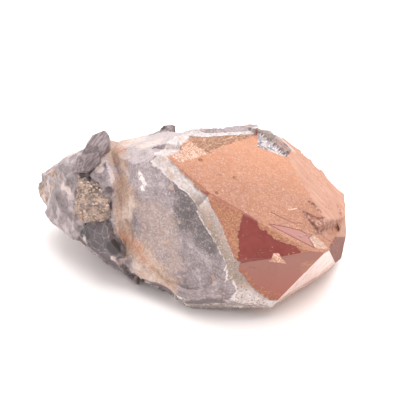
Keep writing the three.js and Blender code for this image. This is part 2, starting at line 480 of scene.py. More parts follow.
def broken_distance(points):
    """Signed distance to the stone before its chips, and the scallop that shaped each point."""
    distance, finish = chunk_distance(points)
    waves, grit, swell = finish.T
    relief = waves * (noise(points, 9.0, 1) + 0.45 * noise(points, 3.6, 2)) + swell
    relief += grit * (noise(points, 1.3, 5) + 0.6 * noise(points, 0.7, 6))
    # Shell-like ribs spread over the fracture from where it was struck.
    struck = np.linalg.norm(points - np.array(STRUCK), axis=1)
    ribs = np.sin(struck / RIB_LENGTH + 1.2 * noise(points, 8.0, 8))
    relief += RIB_HEIGHT * ribs * smooth_step(waves, 0.15, 0.3) * (1 - smooth_step(grit, 0.02, 0.06))
    # The granular rind stands a little proud along the rim of the natural faces.
    rim = rim_position(points)
    rind = smooth_step(rim, -2.6, -2.0) * (1 - smooth_step(rim, 0.0, 0.5)) * (points[:, 2] > 3)
    relief += rind * (0.18 + 0.30 * noise(points, 1.1, 9))
    return scalloped(points, distance - relief, 0.16 * ragged_noise(points))


def stone_distance(points):
    """Signed distance to the finished stone."""
    ragged = ragged_noise(points)
    distance = broken_distance(points)[0]
    for chip in CHIP_BODIES.values():
        distance = np.maximum(distance, -chip.planes(points).max(1) - 0.25 * ragged)
    for path, radius in CRACKS.values():
        trough = to_segments(points, path) - radius * (1 + 0.5 * ragged)
        distance = np.maximum(distance, -trough)
    for centre, radius in PITS:
        away = np.linalg.norm(points - np.array(centre), axis=1)
        distance = np.maximum(distance, radius * (1 + 0.4 * ragged) - away)
    tip = np.flatnonzero(points[:, 0] > TIP_START)
    above = BODIES["point"].planes(points[tip])[:, BODIES["point"].names.index("top face")]
    for name, depth in GROOVES.items():
        hollow = np.minimum(outline_marks(points[tip], name), above + depth)
        distance[tip] = np.maximum(distance[tip], hollow)
    distance = np.minimum(distance, SMALL_CRYSTAL_BODY.planes(points).max(1))
    return np.maximum(distance, -points[:, 2])


def all_distances(points):
    """The finished stone's distance at many points, worked out a batch at a time."""
    parts = [stone_distance(points[at:at + BATCH]) for at in range(0, len(points), BATCH)]
    return np.concatenate(parts)


# ---------------------------------------------------------------- from the field to a mesh


def sample_grid(step):
    """The field on a grid that is fine near the surface and only rough away from it."""
    coarse = 4  # fine steps to a rough one
    reach = 3.4  # how near the surface the field is worked out in full
    margin = 1.2  # room left round the stone
    low = np.array(CAD_BOX[0]) / MM - margin
    low[2] = -margin
    cells = np.ceil((np.array(CAD_BOX[1]) / MM + margin - low) / (step * coarse)).astype(int)
    axes = [low[i] + step * np.arange(cells[i] * coarse) for i in range(3)]
    rough_axes = [axis[::coarse] + 0.5 * step * (coarse - 1) for axis in axes]
    rough_points = np.stack(np.meshgrid(*rough_axes, indexing="ij"), -1).reshape(-1, 3)
    rough = rough_distance(rough_points.astype(np.float32)).reshape(cells)
    field = np.repeat(np.repeat(np.repeat(rough, coarse, 0), coarse, 1), coarse, 2)
    near = np.abs(field) < reach
    seats = np.argwhere(near)
    field[near] = all_distances((low + step * seats).astype(np.float32))
    return field, low


def crossings(field, low, step):
    """Where grid edges pass through the surface, with the four cells round each edge."""
    spots, cells, outward = [], [], []
    for axis in range(3):
        ahead = np.moveaxis(field, axis, 0)
        first, second = ahead[:-1], ahead[1:]
        seats = np.argwhere((first < 0) != (second < 0))
        before, after = first[tuple(seats.T)], second[tuple(seats.T)]
        order = [axis] + [i for i in range(3) if i != axis]
        seats = seats[:, np.argsort(order)]
        spot = seats.astype(float)
        spot[:, axis] += before / (before - after)
        spots.append(low + step * spot)
        across, up = np.eye(3, dtype=int)[(axis + 1) % 3], np.eye(3, dtype=int)[(axis + 2) % 3]
        ring = [0 * across, -across, -across - up, -up]
        cells.append(np.stack([seats + offset for offset in ring], 1))
        outward.append(before < 0)
    return np.concatenate(spots), np.concatenate(cells), np.concatenate(outward)


def slopes(points, reach, field):
    """The direction in which a field rises at each point, from four samples round it."""
    corners = np.array([(1, 1, 1), (1, -1, -1), (-1, 1, -1), (-1, -1, 1)], np.float32)
    total = np.zeros_like(points)
    for corner in corners:
        total += corner * field((points + reach * corner).astype(np.float32))[:, None]
    return total / np.maximum(np.linalg.norm(total, axis=1, keepdims=True), 1e-9)


def best_points(spots, normals, owners, count, low_corners, step):
    """One point a cell, where the planes that cross its edges meet."""
    pull = 0.06  # holds a corner near its crossings where the planes leave it free

    def gathered(values):
        return np.bincount(owners, values, count)

    number = gathered(np.ones(len(owners)))
    middle = np.stack([gathered(spots[:, i]) for i in range(3)], 1) / number[:, None]
    along = (normals * (spots - middle[owners])).sum(1)
    pulls = np.zeros((count, 3, 3))
    pushes = np.zeros((count, 3))
    for i in range(3):
        pushes[:, i] = gathered(normals[:, i] * along)
        for j in range(3):
            pulls[:, i, j] = gathered(normals[:, i] * normals[:, j])
    pulls += pull * np.eye(3)
    moved = middle + np.linalg.solve(pulls, pushes[..., None])[..., 0]
    return np.clip(moved, low_corners, low_corners + step)


def largest_piece(quads, count):
    """Which corners belong to the biggest connected part of the mesh."""
    labels = np.arange(count)
    while True:
        lowest = labels[quads].min(1)
        updated = labels.copy()
        for side in range(4):
            np.minimum.at(updated, quads[:, side], lowest)
        updated = updated[updated]
        if (updated == labels).all():
            break
        labels = updated
    return labels == np.bincount(labels).argmax()


def stone_surface(step):
    """Corners in millimetres and quads of the finished stone."""
    field, low = sample_grid(step)
    spots, cells, outward = crossings(field, low, step)
    normals = slopes(spots, 0.12, all_distances)
    keys = np.ravel_multi_index(cells.reshape(-1, 3).T, field.shape)
    used, owners = np.unique(keys, return_inverse=True)
    low_corners = low + step * np.stack(np.unravel_index(used, field.shape), 1)
    corners = best_points(
        np.repeat(spots, 4, 0), np.repeat(normals, 4, 0), owners, len(used), low_corners, step)
    quads = owners.reshape(-1, 4)
    quads = np.where(outward[:, None], quads, quads[:, ::-1])
    kept = largest_piece(quads, len(used))
    renumbered = np.cumsum(kept) - 1
    return corners[kept], renumbered[quads[kept[quads[:, 0]]]]


# ---------------------------------------------------------------- what each spot of the stone is

NATURAL = ("skin", "gloss")
BROKEN = ("shell", "worn", "broken")
ROOT_FINISHES = ("root", "splinter", "crumb", "glass")
CREST = ("crest", "behind the crest", "crest corner")

# Natural faces that have a finish of their own, and the facets that make them up.
FACES = {
    "front": ["front face"],
    "lower": ["lower front face"],
    "bevel": ["bright bevel"],
    "end": ["blunt end", "side of the end"],
    "backtop": ["back top face"],
    "layers": ["bevel edge", "bevel edge below", "under the tip"],
}
# Finishes that cover whatever these chunks add to the others.
STANDING = {
    "crust": ["crust"],
    "glassy": ["glassy"],
    "splinter": ["splinter", "lower splinter", "thin splinter"],
}
TIP_STEPS = ("tip step", "tip end step")

# Outlines lie flat on a facet, in millimetres along it and up it from a spot on the facet.
FACET_SPOTS = {"front face": (28.7, -30.4, 20.1), "top face": (42.0, -12.0, 24.5)}
# Each outline's facet, how far over the facet's edge it may run, and its corners.
OUTLINES = {
    "window": ("front face", 1.2, [
        (4.4, 14.6), (7.1, 13.7), (8.0, 12.6), (8.4, 9.8), (9.7, 9.4), (11.6, 7.4), (14.2, 5.8),
        (16.5, 5.0), (18.3, 3.8), (18.7, 2.7), (16.0, 2.0), (0.0, -0.3), (1.2, 1.9), (2.2, 5.0),
        (2.4, 9.0), (3.6, 12.4)]),
    "pink": ("front face", 9.0, [
        (11.3, 11.3), (15.8, 10.4), (19.6, 9.4), (23.4, 8.0), (22.0, 7.0), (22.7, 4.0), (20.5, 5.4),
        (16.6, 7.9), (14.0, 9.5)]),
    "plate": ("front face", 9.0, [
        (22.0, 7.0), (24.5, 8.0), (26.5, 5.7), (27.1, 3.6), (24.3, 3.5), (22.8, 4.3)]),
    "wedge": ("top face", 9.0, [
        (8.8, 4.9), (9.7, 2.8), (10.0, 0.9), (10.6, -0.4), (12.2, -1.4), (12.9, -2.8), (10.8, -3.8),
        (7.8, -4.2), (6.0, -2.3), (6.8, 0.2), (7.8, 3.0)]),
    "groove": ("top face", 9.0, [
        (14.9, 4.6), (15.4, 2.9), (15.0, 0.8), (14.0, -0.6), (12.9, 0.1), (13.3, 1.9), (14.0, 3.5)]),
}
# Outlines that are sunk into their facet, and how deep.
GROOVES = {"wedge": 0.55, "groove": 0.5}
# Fine lines on a facet: the lip of a shallow flake, a scratch, and a curved crack low in front.
LINES = {
    "lip": ("top face", [
        (31.6, -13.3, 30.1), (34.3, -12.5, 28.7), (37.4, -11.1, 26.9), (39.0, -8.8, 25.9)]),
    "scratch": ("top face", [(34.2, -7.4, 28.2), (35.0, -6.0, 28.0), (35.8, -4.3, 27.7)]),
    "crack": ("lower front face", [(32.1, -28.2, 19.4), (33.2, -27.1, 19.7), (34.5, -25.9, 19.3)]),
}

# Patches of colour are runs of balls, (x, y, z, radius) in millimetres, joined at the surface.
PATCHES = {
    "stain": [
        (-18.6, -8.1, 35.6, 3.2), (-15.8, -12.3, 36.2, 2.2), (-12.7, -18.5, 33.5, 1.0),
        (-8.6, -27.0, 17.5, 1.6), (-8.3, -24.2, 16.0, 2.4), (-5.5, -24.9, 15.6, 2.6),
        (-3.1, -25.7, 14.8, 2.8), (-1.2, -26.4, 12.4, 2.0), (2.3, -27.3, 10.6, 1.4),
        (-9.6, -21.8, 27.6, 1.0)],
    "sandy": [
        (-24.1, -4.3, 34.5, 4.5), (-18.4, -5.7, 35.8, 5.0), (-20.1, -10.7, 34.4, 4.5),
        (-16.7, -14.2, 35.5, 3.5), (-12.1, -17.0, 35.5, 3.0), (-11.0, -20.0, 31.0, 3.6),
        (-8.0, -21.5, 28.0, 4.5), (-10.0, -22.5, 23.0, 4.0), (-8.7, -23.9, 17.7, 4.2),
        (-5.8, -25.1, 14.6, 4.2), (-2.7, -25.9, 13.7, 4.2), (1.1, -26.9, 11.7, 4.0),
        (4.5, -27.9, 9.6, 4.0), (-0.4, -27.4, 7.5, 3.0), (8.2, -28.8, 8.0, 3.5)],
    "cream": [
        (-15.8, -5.5, 36.7, 3.5), (-7.1, -11.0, 40.3, 4.0), (-6.9, -23.0, 27.0, 1.8),
        (-7.9, -23.1, 23.8, 2.2), (1.9, -27.9, 6.8, 2.0), (-3.7, -26.7, 9.4, 1.6),
        (-7.9, -26.9, 10.2, 1.0), (-9.9, -28.4, 10.9, 0.8), (-35.5, -9.5, 30.8, 2.0),
        (-33.0, -12.0, 32.0, 3.0), (-31.8, -19.7, 24.5, 1.3), (-29.5, -21.0, 24.4, 1.2),
        (-28.6, -21.4, 23.9, 0.9), (-18.8, -28.9, 14.9, 0.8), (-18.6, -17.4, 35.3, 1.3),
        (-18.4, -19.7, 33.7, 1.3), (-43.5, -14.8, 14.8, 1.7), (-42.2, -14.6, 20.4, 1.4),
        (-40.5, -14.0, 25.0, 1.2)],
    "streak": [
        (-4.0, -22.1, 37.2, 0.8), (-3.0, -22.4, 36.0, 0.9), (-2.0, -22.7, 34.8, 0.9),
        (-2.6, -22.9, 33.2, 0.8), (2.2, -22.6, 37.8, 0.4), (2.4, -22.9, 35.8, 0.4)],
    "smoky": [
        (8.5, -24.5, 36.0, 3.0), (13.0, -25.5, 33.5, 4.8), (11.0, -25.5, 29.0, 3.6),
        (16.0, -26.8, 30.5, 5.4), (18.5, -27.8, 26.5, 4.6), (20.5, -28.5, 23.5, 3.2),
        (-9.3, -28.4, 14.9, 2.3)],
    # Painted shade: the low ledge just above the floor, which the finishes paint near black.
    "ledge": [
        (-17.0, -23.5, 5.5, 2.2), (-14.0, -26.0, 7.0, 2.6), (-11.0, -28.0, 8.0, 2.4),
        (-8.5, -27.5, 6.5, 2.6), (-6.5, -25.5, 5.0, 2.6)],
    "warm": [
        (4.1, -25.5, 24.6, 4.5), (0.4, -24.5, 26.2, 4.5), (6.2, -26.6, 19.4, 4.5),
        (1.0, -26.0, 18.0, 4.0), (9.0, -27.5, 15.0, 3.0)],
    "crust": [
        (-42.6, -13.2, 21.2, 3.0), (-39.2, -15.1, 24.8, 3.0), (-45.0, -12.0, 15.9, 3.2),
        (-40.9, -15.8, 15.4, 2.8), (-36.0, -17.0, 25.5, 2.2), (-37.7, -16.6, 21.1, 2.6),
        (-22.2, -22.1, 30.8, 1.2), (-32.5, -18.9, 26.6, 1.6)],
    "glassy": [(-21.5, -20.9, 31.5, 1.4), (-17.2, -23.8, 30.7, 1.0), (-12.1, -24.3, 25.6, 1.2)],
}

FAR_OUTSIDE = -9.0  # a mark's value where it plays no part
SHARP_EDGE = math.radians(38)  # facets that turn more than this meet in a sharp edge


def edge_distance(body, planes, ours, others):
    """How far a spot is inside our facets from the edges they share with others, along the stone."""
    mine = np.array(ours)[planes[:, ours].argmax(1)]
    theirs = np.array(others)[planes[:, others].argmax(1)]
    rows = np.arange(len(planes))
    turn = np.linalg.norm(np.cross(body.normals[mine], body.normals[theirs]), axis=1)
    return (planes[rows, mine] - planes[rows, theirs]) / np.maximum(turn, 0.2)


def outline_distance(spots, outline):
    """Signed distance to an outline in its plane, positive inside."""
    inside = np.zeros(len(spots), bool)
    nearest = np.full(len(spots), np.inf)
    for start, end in zip(outline, outline[1:] + outline[:1]):
        start, end = np.array(start, float), np.array(end, float)
        nearest = np.minimum(nearest, to_segments(spots, [start, end]))
        spans = (start[1] > spots[:, 1]) != (end[1] > spots[:, 1])
        if start[1] != end[1]:
            share = (spots[:, 1] - start[1]) / (end[1] - start[1])
            inside ^= spans & (spots[:, 0] < start[0] + share * (end[0] - start[0]))
    return np.where(inside, nearest, -nearest)


def side_distance(points, path, normal):
    """Signed distance to a path carried on past its ends, and how far inside its span a spot is."""
    path = [np.array(spot, float) for spot in path]
    carried = 40.0
    first = path[0] + carried * (path[0] - path[1]) / np.linalg.norm(path[0] - path[1])
    last = path[-1] + carried * (path[-1] - path[-2]) / np.linalg.norm(path[-1] - path[-2])
    path_on = [first] + path[1:-1] + [last]
    nearest = np.full(len(points), np.inf)
    signs = np.ones(len(points))
    for start, end in zip(path_on[:-1], path_on[1:]):
        away = to_segments(points, [start, end])
        side = np.sign((np.cross(end - start, points - start) * normal).sum(1))
        signs = np.where(away < nearest, side, signs)
        nearest = np.minimum(nearest, away)
    middle = 0.5 * (path[0] + path[-1])
    half = 0.5 * np.linalg.norm(path[0] - path[-1])
    return signs * nearest, half - np.linalg.norm(points - middle, axis=1)


def outline_marks(points, name):
    """Signed distance to a named outline along its facet, positive inside."""
    facet, _, outline = OUTLINES[name]
    azimuth, elevation = next(f[1:3] for f in CHUNKS["point"][2] if f[0] == facet)
    spots = points - np.array(FACET_SPOTS[facet])
    along, up = directions([azimuth + 90, azimuth + 180], [0, 90 - elevation])
    return outline_distance(np.stack([spots @ along, spots @ up], 1), outline)


def face_marks(body, planes):
    """How far inside the rim and the named faces a spot is, and whether it is beside the crest."""
    finishes = [FINISH_NAMES[f] for f in body.finishes]
    natural = [i for i, finish in enumerate(finishes) if finish in NATURAL]
    broken = [i for i, finish in enumerate(finishes) if finish in BROKEN]
    marks = {"rim": edge_distance(body, planes, natural, broken)}
    for name, members in FACES.items():
        ours = [body.names.index(member) for member in members]
        others = [i for i in natural if i not in ours]
        marks[name] = edge_distance(body, planes, ours, others)
    end_planes = planes[:, [body.names.index(name) for name in FACES["end"]]].max(1)
    marks["end"] = np.minimum(marks["end"], 0.6 - np.abs(end_planes))
    crest = [body.names.index(name) for name in CREST]
    beside_crest = planes[:, crest].max(1) >= planes[:, broken].max(1)
    return marks, beside_crest


def rind_rim(points, marks, beside_crest):
    """The rim mark, drawn in or let out so that the rind has its own width in each place."""
    wide = 1 - 0.6 * smooth_step(points[:, 2], 15.0, 8.0) - 0.4 * smooth_step(points[:, 2], 34.0, 39.0)
    rim = np.where(beside_crest, 2.4, wide) * marks["rim"]
    over_front = smooth_step(marks["front"], -1.0, 0.5) * smooth_step(points[:, 2], 20.0, 32.0)
    rim = np.where(rim > 0, rim * (1 - 0.65 * over_front), rim)
    behind = (points[:, 0] > 18) & (points[:, 1] > 4) & (rim > 0)
    return np.where(behind, 4 * rim, rim)


def chip_marks(points):
    """How far inside the walls of each chip a spot is, and how near the walls of the tip's steps."""
    marks = {}
    for name, chip in CHIP_BODIES.items():
        sides = np.abs(chip.normals[:, 2]) < 0.72
        marks[name.replace(" ", "_")] = -chip.planes(points)[:, sides].max(1)
    walls = []
    for name in TIP_STEPS:
        step_planes = CHIP_BODIES[name].planes(points)
        walls.append(0.45 - np.maximum(np.abs(step_planes[:, 2]), step_planes[:, :2].max(1)))
    marks["step_wall"] = np.maximum(*walls)
    return marks


def drawn_marks(points, body, planes, front):
    """The marks of the outlines and of the fine lines."""
    marks = {}
    for name, (facet, reach, _) in OUTLINES.items():
        if facet == "front face":
            near = front
        else:
            near = 3.0 - np.abs(planes[:, body.names.index(facet)])
        marks[name] = np.where(near > -reach, outline_marks(points, name), FAR_OUTSIDE)
    for name, (facet, path) in LINES.items():
        side, span = side_distance(points, path, body.normals[body.names.index(facet)])
        marks[name + "_side"], marks[name + "_span"] = side, span
    return marks


def patch_marks(points):
    """How far inside each patch of colour a spot is, or how far its chunk stands out of the others."""
    marks = {}
    for name, balls in PATCHES.items():
        reach = [r - np.linalg.norm(points - np.array((x, y, z)), axis=1) for x, y, z, r in balls]
        marks[name] = np.max(reach, 0)
    distances = {name: chunk.planes(points).max(1) for name, chunk in BODIES.items()}
    for name, members in STANDING.items():
        others = np.min([distances[other] for other in distances if other not in members], 0)
        stands_out = others - np.min([distances[member] for member in members], 0)
        marks[name] = np.maximum(marks.get(name, FAR_OUTSIDE), stands_out)
    return marks


def surface_marks(points):
    """Named values at each corner that the finishes read, all but the last in millimetres."""
    body = BODIES["point"]
    planes = body.planes(points)
    marks, beside_crest = face_marks(body, planes)
    marks["rim"] = rind_rim(points, marks, beside_crest)
    marks.update(chip_marks(points))
    marks.update(drawn_marks(points, body, planes, marks["front"]))
    marks["seed"] = 0.2 - SMALL_CRYSTAL_BODY.planes(points).max(1)
    marks.update(patch_marks(points))
    # A value between -1 and 1 for each scallop, so that neighbouring breaks differ in shade.
    shaped = broken_distance(points)[1]
    marks["break"] = hashed_vector(hashed(np.stack([shaped] * 3, 1), 31))[:, 0]
    return marks


def stone_mesh(step):
    """The stone as a Blender mesh, with its marks, its corners in millimetres and its quads."""
    corners, quads = stone_surface(step)
    mesh = bpy.data.meshes.new("stone")
    mesh.from_pydata((corners * MM).tolist(), [], quads.tolist())
    mesh.polygons.foreach_set("use_smooth", np.ones(len(quads), bool))
    mesh.update()
    marks = surface_marks(corners.astype(np.float32))
    for name, values in marks.items():
        layer = mesh.attributes.new(name, "FLOAT", "POINT")
        layer.data.foreach_set("value", np.clip(values, FAR_OUTSIDE, -FAR_OUTSIDE).astype(np.float32))
    mesh.set_sharp_from_angle(angle=SHARP_EDGE)
    return mesh, marks, corners, quads


HOLLOWS = scallop_hollows()


# ---------------------------------------------------------------- shader trees

# Colours that more than one effect or finish uses.
DARK_QUARTZ = (0.21, 0.16, 0.163)
LIGHT_QUARTZ = (0.40, 0.325, 0.338)
VEIN_WHITE = (0.74, 0.67, 0.67)
SAND = (0.52, 0.355, 0.265)
RUST = (0.50, 0.255, 0.165)
# Painted shade, near black, for the low ledge just above the floor.
LEDGE_SHADE = (0.095, 0.073, 0.075)
# Painted shade for the faces of the body that look down.
UNDERSIDE_SHADE = (0.15, 0.115, 0.115)
GRAIN_GROUP = "Sugary grain"
MOST_GRAINS = 4.0e6  # scattered grains a square metre, before they are thinned by their spacing


class Nodes:
    """Adds and joins the nodes of one tree in few words."""

    def __init__(self, tree):
        self.tree = tree

    def put(self, socket, value):
        """Link a socket to another, or set its value."""
        if isinstance(value, bpy.types.NodeSocket):
            self.tree.links.new(value, socket)
        elif socket.type == "RGBA":
            socket.default_value = (*value[:3], 1.0)
        else:
            socket.default_value = value

    def add(self, kind, inputs=None, **settings):
        node = self.tree.nodes.new(kind)
        for name, value in settings.items():
            setattr(node, name, value)
        for name, value in (inputs or {}).items():
            self.put(node.inputs[name], value)
        return node

    def millimetres(self):
        """The place on the stone, in millimetres from its foot."""
        place = self.add("ShaderNodeTexCoord").outputs["Object"]
        scaled = self.add("ShaderNodeVectorMath", {0: place, "Scale": 1 / MM}, operation="SCALE")
        return scaled.outputs[0]

    def parts(self, vector):
        """The x, y and z of a vector."""
        return self.add("ShaderNodeSeparateXYZ", {0: vector}).outputs

    def stretched(self, position, azimuth, elevation, length, width):
        """Coordinates drawn out along one direction, for streaks and striations."""
        around = Matrix.Rotation(math.radians(-azimuth), 3, "Z")
        turn = Matrix.Rotation(math.radians(elevation), 3, "Y") @ around
        turned = self.add("ShaderNodeMapping", {"Vector": position, "Rotation": turn.to_euler()})
        scales = (1 / length, 1 / width, 1 / width)
        return self.add("ShaderNodeMapping", {"Vector": turned.outputs[0], "Scale": scales}).outputs[0]

    def mark(self, name):
        return self.add("ShaderNodeAttribute", attribute_name=name).outputs["Fac"]

    def noise(self, position, size, detail=2.0, roughness=0.5, distortion=0.0):
        node = self.add("ShaderNodeTexNoise", {
            "Vector": position, "Scale": 1 / size, "Detail": detail,
            "Roughness": roughness, "Distortion": distortion})
        return node.outputs["Fac"]

    def swing(self, position, size, *texture):
        """Noise that swings either side of zero."""
        return self.less(self.noise(position, size, *texture), 0.5)

    def streaks(self, position, direction, length, width, *texture):
        """Noise drawn out along a direction, which is an azimuth and an elevation."""
        return self.noise(self.stretched(position, *direction, length, width), 1.0, *texture)

    def cells(self, position, size, output="Distance", feature="F1"):
        scale = 1 / size if isinstance(size, (int, float)) else self.math("DIVIDE", 1.0, size)
        return self.add("ShaderNodeTexVoronoi", {"Vector": position, "Scale": scale},
                        feature=feature).outputs[output]

    def cell_value(self, position, size):
        """One random value for each cell of about that size."""
        colour = self.cells(position, size, "Color")
        return self.add("ShaderNodeSeparateColor", {0: colour}).outputs[0]

    def math(self, operation, first, second=0.0):
        node = self.add("ShaderNodeMath", operation=operation)
        self.put(node.inputs[0], first)
        self.put(node.inputs[1], second)
        return node.outputs[0]

    def size_of(self, value):
        """A value without its sign."""
        return self.math("ABSOLUTE", value)

    def total(self, first, *others):
        for value in others:
            first = self.math("ADD", first, value)
        return first

    def less(self, first, second):
        return self.math("SUBTRACT", first, second)

    def product(self, first, *others):
        for value in others:
            first = self.math("MULTIPLY", first, value)
        return first

    def highest(self, first, *others):
        for value in others:
            first = self.math("MAXIMUM", first, value)
        return first

    def other(self, share):
        """What is left of a share of one."""
        return self.less(1.0, share)

    def step(self, value, low, high, bottom=0.0, top=1.0):
        """A smooth rise from bottom to top as the value goes from low to high."""
        node = self.add("ShaderNodeMapRange", {
            "Value": value, "From Min": low, "From Max": high, "To Min": bottom, "To Max": top},
            interpolation_type="SMOOTHSTEP")
        return node.outputs[0]

    def blend(self, share, first, second):
        """From the first colour to the second."""
        node = self.add("ShaderNodeMix", data_type="RGBA")
        for index, value in ((0, share), (6, first), (7, second)):
            self.put(node.inputs[index], value)
        return node.outputs[2]

    def lay(self, colour, over, *shares):
        """One colour laid over another, as far as the product of the shares."""
        return self.blend(self.product(*shares), colour, over)

    def mix(self, share, first, second):
        """The same as blend, for numbers."""
        node = self.add("ShaderNodeMix", data_type="FLOAT")
        for index, value in ((0, share), (2, first), (3, second)):
            self.put(node.inputs[index], value)
        return node.outputs[0]

    def use(self, group, **inputs):
        """A shared group's outputs, by name."""
        node = self.add("ShaderNodeGroup", node_tree=group)
        for name, value in inputs.items():
            self.put(node.inputs[name.replace("_", " ")], value)
        return node.outputs


def node_group(name, inputs, outputs, fill):
    """A shared effect: inputs are (name, kind, start value), outputs (name, kind)."""
    tree = bpy.data.node_groups.new(name, "ShaderNodeTree")
    for label, kind, start in inputs:
        socket = tree.interface.new_socket(name=label, in_out="INPUT", socket_type="NodeSocket" + kind)
        if start is not None:
            socket.default_value = (*start, 1.0) if kind == "Color" else start
    for label, kind in outputs:
        tree.interface.new_socket(name=label, in_out="OUTPUT", socket_type="NodeSocket" + kind)
    nodes = Nodes(tree)
    taken = nodes.add("NodeGroupInput").outputs
    given = nodes.add("NodeGroupOutput").inputs
    for label, value in fill(nodes, taken).items():
        nodes.put(given[label], value)
    return tree


def sugary_grain(nodes, given):
    """Tight crystalline grains, each a little lighter or darker than the next."""
    position, size = given["Position"], given["Size"]
    value = nodes.cell_value(position, size)
    distance = nodes.cells(position, size)
    cloud = nodes.noise(position, 0.6, 4.0, 0.65)
    light = nodes.mix(0.5, value, cloud)
    height = nodes.less(cloud, nodes.product(distance, 0.5))
    return {"Light": light, "Value": value, "Height": height}


def ragged_edge(nodes, given):
    """A mask from a signed distance, with a border as uneven as a flaked coat."""
    node = nodes.add("ShaderNodeTexNoise", {
        "Vector": given["Position"], "Detail": 5.0, "Roughness": 0.62,
        "Scale": nodes.math("DIVIDE", 1.0, given["Size"])})
    swing = nodes.product(nodes.less(node.outputs["Fac"], 0.5), given["Reach"], 2.0)
    moved = nodes.total(given["Distance"], swing)
    return {"Mask": nodes.step(moved, nodes.product(given["Softness"], -1.0), given["Softness"])}


def granular_rind(nodes, given):
    """The granular quartz crust that borders the natural faces, with its bright outer line."""
    position = given["Position"]
    grains = nodes.cell_value(position, 0.55)
    fine = nodes.noise(position, 0.5, 4.0, 0.65)
    moved = nodes.total(given["Rim"], nodes.product(nodes.swing(position, 2.6, 4.0, 0.6), 2.0))
    mask = nodes.product(nodes.step(moved, -2.7, -2.4), nodes.step(moved, 1.0, 0.4))
    line = nodes.product(nodes.step(moved, -2.8, -2.5), nodes.step(moved, -1.9, -2.2))
    height = nodes.parts(position)[2]
    ends = nodes.highest(nodes.step(height, 32.0, 38.0), nodes.step(height, 17.0, 8.0))
    shade = nodes.total(nodes.product(grains, 0.45), nodes.product(fine, 0.45),
                        nodes.product(nodes.swing(position, 3.2, 3.0, 0.6), 0.8))
    colour = nodes.blend(nodes.step(shade, 0.45, 0.95), given["Dark"], given["Light"])
    colour = nodes.lay(colour, given["Line"], ends, nodes.step(shade, 0.1, 0.7, 0.4, 0.9))
    tan = nodes.step(nodes.cell_value(position, 1.3), 0.9, 0.93)
    colour = nodes.lay(colour, (0.55, 0.33, 0.22), tan, 0.5)
    broken_line = nodes.step(nodes.noise(position, 1.8, 3.0), 0.33, 0.5)
    colour = nodes.lay(colour, given["Line"], line, broken_line, 0.9)
    relief = nodes.total(nodes.product(grains, 0.2), nodes.product(fine, 0.3))
    return {"Colour": colour, "Mask": mask, "Height": relief}


def clouded_quartz(nodes, given):
    """Massive quartz: soft clouds from dark to light with wispy white veins."""
    position = given["Position"]
    clouds = nodes.noise(position, 9.0, 5.0, 0.6, 0.6)
    small = nodes.noise(position, 1.3, 4.0, 0.65)
    shade = nodes.total(nodes.step(clouds, 0.3, 0.7, 0.0, 0.75), nodes.step(small, 0.3, 0.7, -0.1, 0.25))
    colour = nodes.blend(shade, given["Dark"], given["Light"])
    wisps = nodes.size_of(nodes.swing(position, 5.0, 6.0, 0.65, 1.6))
    veins = nodes.product(nodes.step(wisps, 0.05, 0.0), nodes.step(clouds, 0.38, 0.6), given["Veins"])
    return {"Colour": nodes.blend(veins, colour, VEIN_WHITE), "Cloud": clouds}


def iron_stain(nodes, given):
    """Sandy and orange iron staining laid over the quartz beneath."""
    wash = nodes.swing(given["Position"], 2.6, 5.0, 0.65)
    sandy = nodes.step(nodes.total(given["Sandy"], nodes.product(wash, 6.0)), -1.2, 2.2)
    rusty = nodes.step(nodes.total(given["Stain"], nodes.product(wash, 4.0)), -0.6, 1.6)
    colour = nodes.lay(given["Under"], SAND, sandy, 0.9)
    return {"Colour": nodes.lay(colour, RUST, rusty, 0.9)}


def make_groups():
    """The effects that more than one material uses."""
    place = ("Position", "Vector", None)
    return {
        "grain": node_group(GRAIN_GROUP, [place, ("Size", "Float", 0.5)],
                            [("Light", "Float"), ("Value", "Float"), ("Height", "Float")], sugary_grain),
        "edge": node_group("Ragged edge", [
            place, ("Distance", "Float", 0.0), ("Reach", "Float", 0.4), ("Size", "Float", 1.2),
            ("Softness", "Float", 0.1)], [("Mask", "Float")], ragged_edge),
        "rind": node_group("Granular rind", [
            place, ("Rim", "Float", 0.0), ("Dark", "Color", (0.34, 0.26, 0.22)),
            ("Light", "Color", (0.54, 0.405, 0.34)), ("Line", "Color", (0.76, 0.675, 0.665))],
            [("Colour", "Color"), ("Mask", "Float"), ("Height", "Float")], granular_rind),
        "quartz": node_group("Clouded quartz", [
            place, ("Dark", "Color", DARK_QUARTZ), ("Light", "Color", LIGHT_QUARTZ),
            ("Veins", "Float", 0.25)], [("Colour", "Color"), ("Cloud", "Float")], clouded_quartz),
        "stain": node_group("Iron stain", [
            place, ("Sandy", "Float", 0.0), ("Stain", "Float", 0.0), ("Under", "Color", LIGHT_QUARTZ)],
            [("Colour", "Color")], iron_stain),
    }


# ---------------------------------------------------------------- the stone's finishes


def new_material(name):
    """A material, its nodes and the inputs of its shader."""
    material = bpy.data.materials.new(name)
    material.use_nodes = True
    nodes = Nodes(material.node_tree)
    return material, nodes, material.node_tree.nodes["Principled BSDF"].inputs


def bumped(nodes, height):
    """A normal from a height in millimetres."""
    return nodes.add("ShaderNodeBump", {"Height": height, "Distance": MM}).outputs["Normal"]


def ragged_patches(nodes, groups, position):
    """A maker of masks with ragged borders, each from a mark's name or from a signed distance."""

    def patch(distance, reach, size, softness):
        if isinstance(distance, str):
            distance = nodes.mark(distance)
        return nodes.use(groups["edge"], Position=position, Distance=distance, Reach=reach, Size=size,
                         Softness=softness)["Mask"]

    return patch


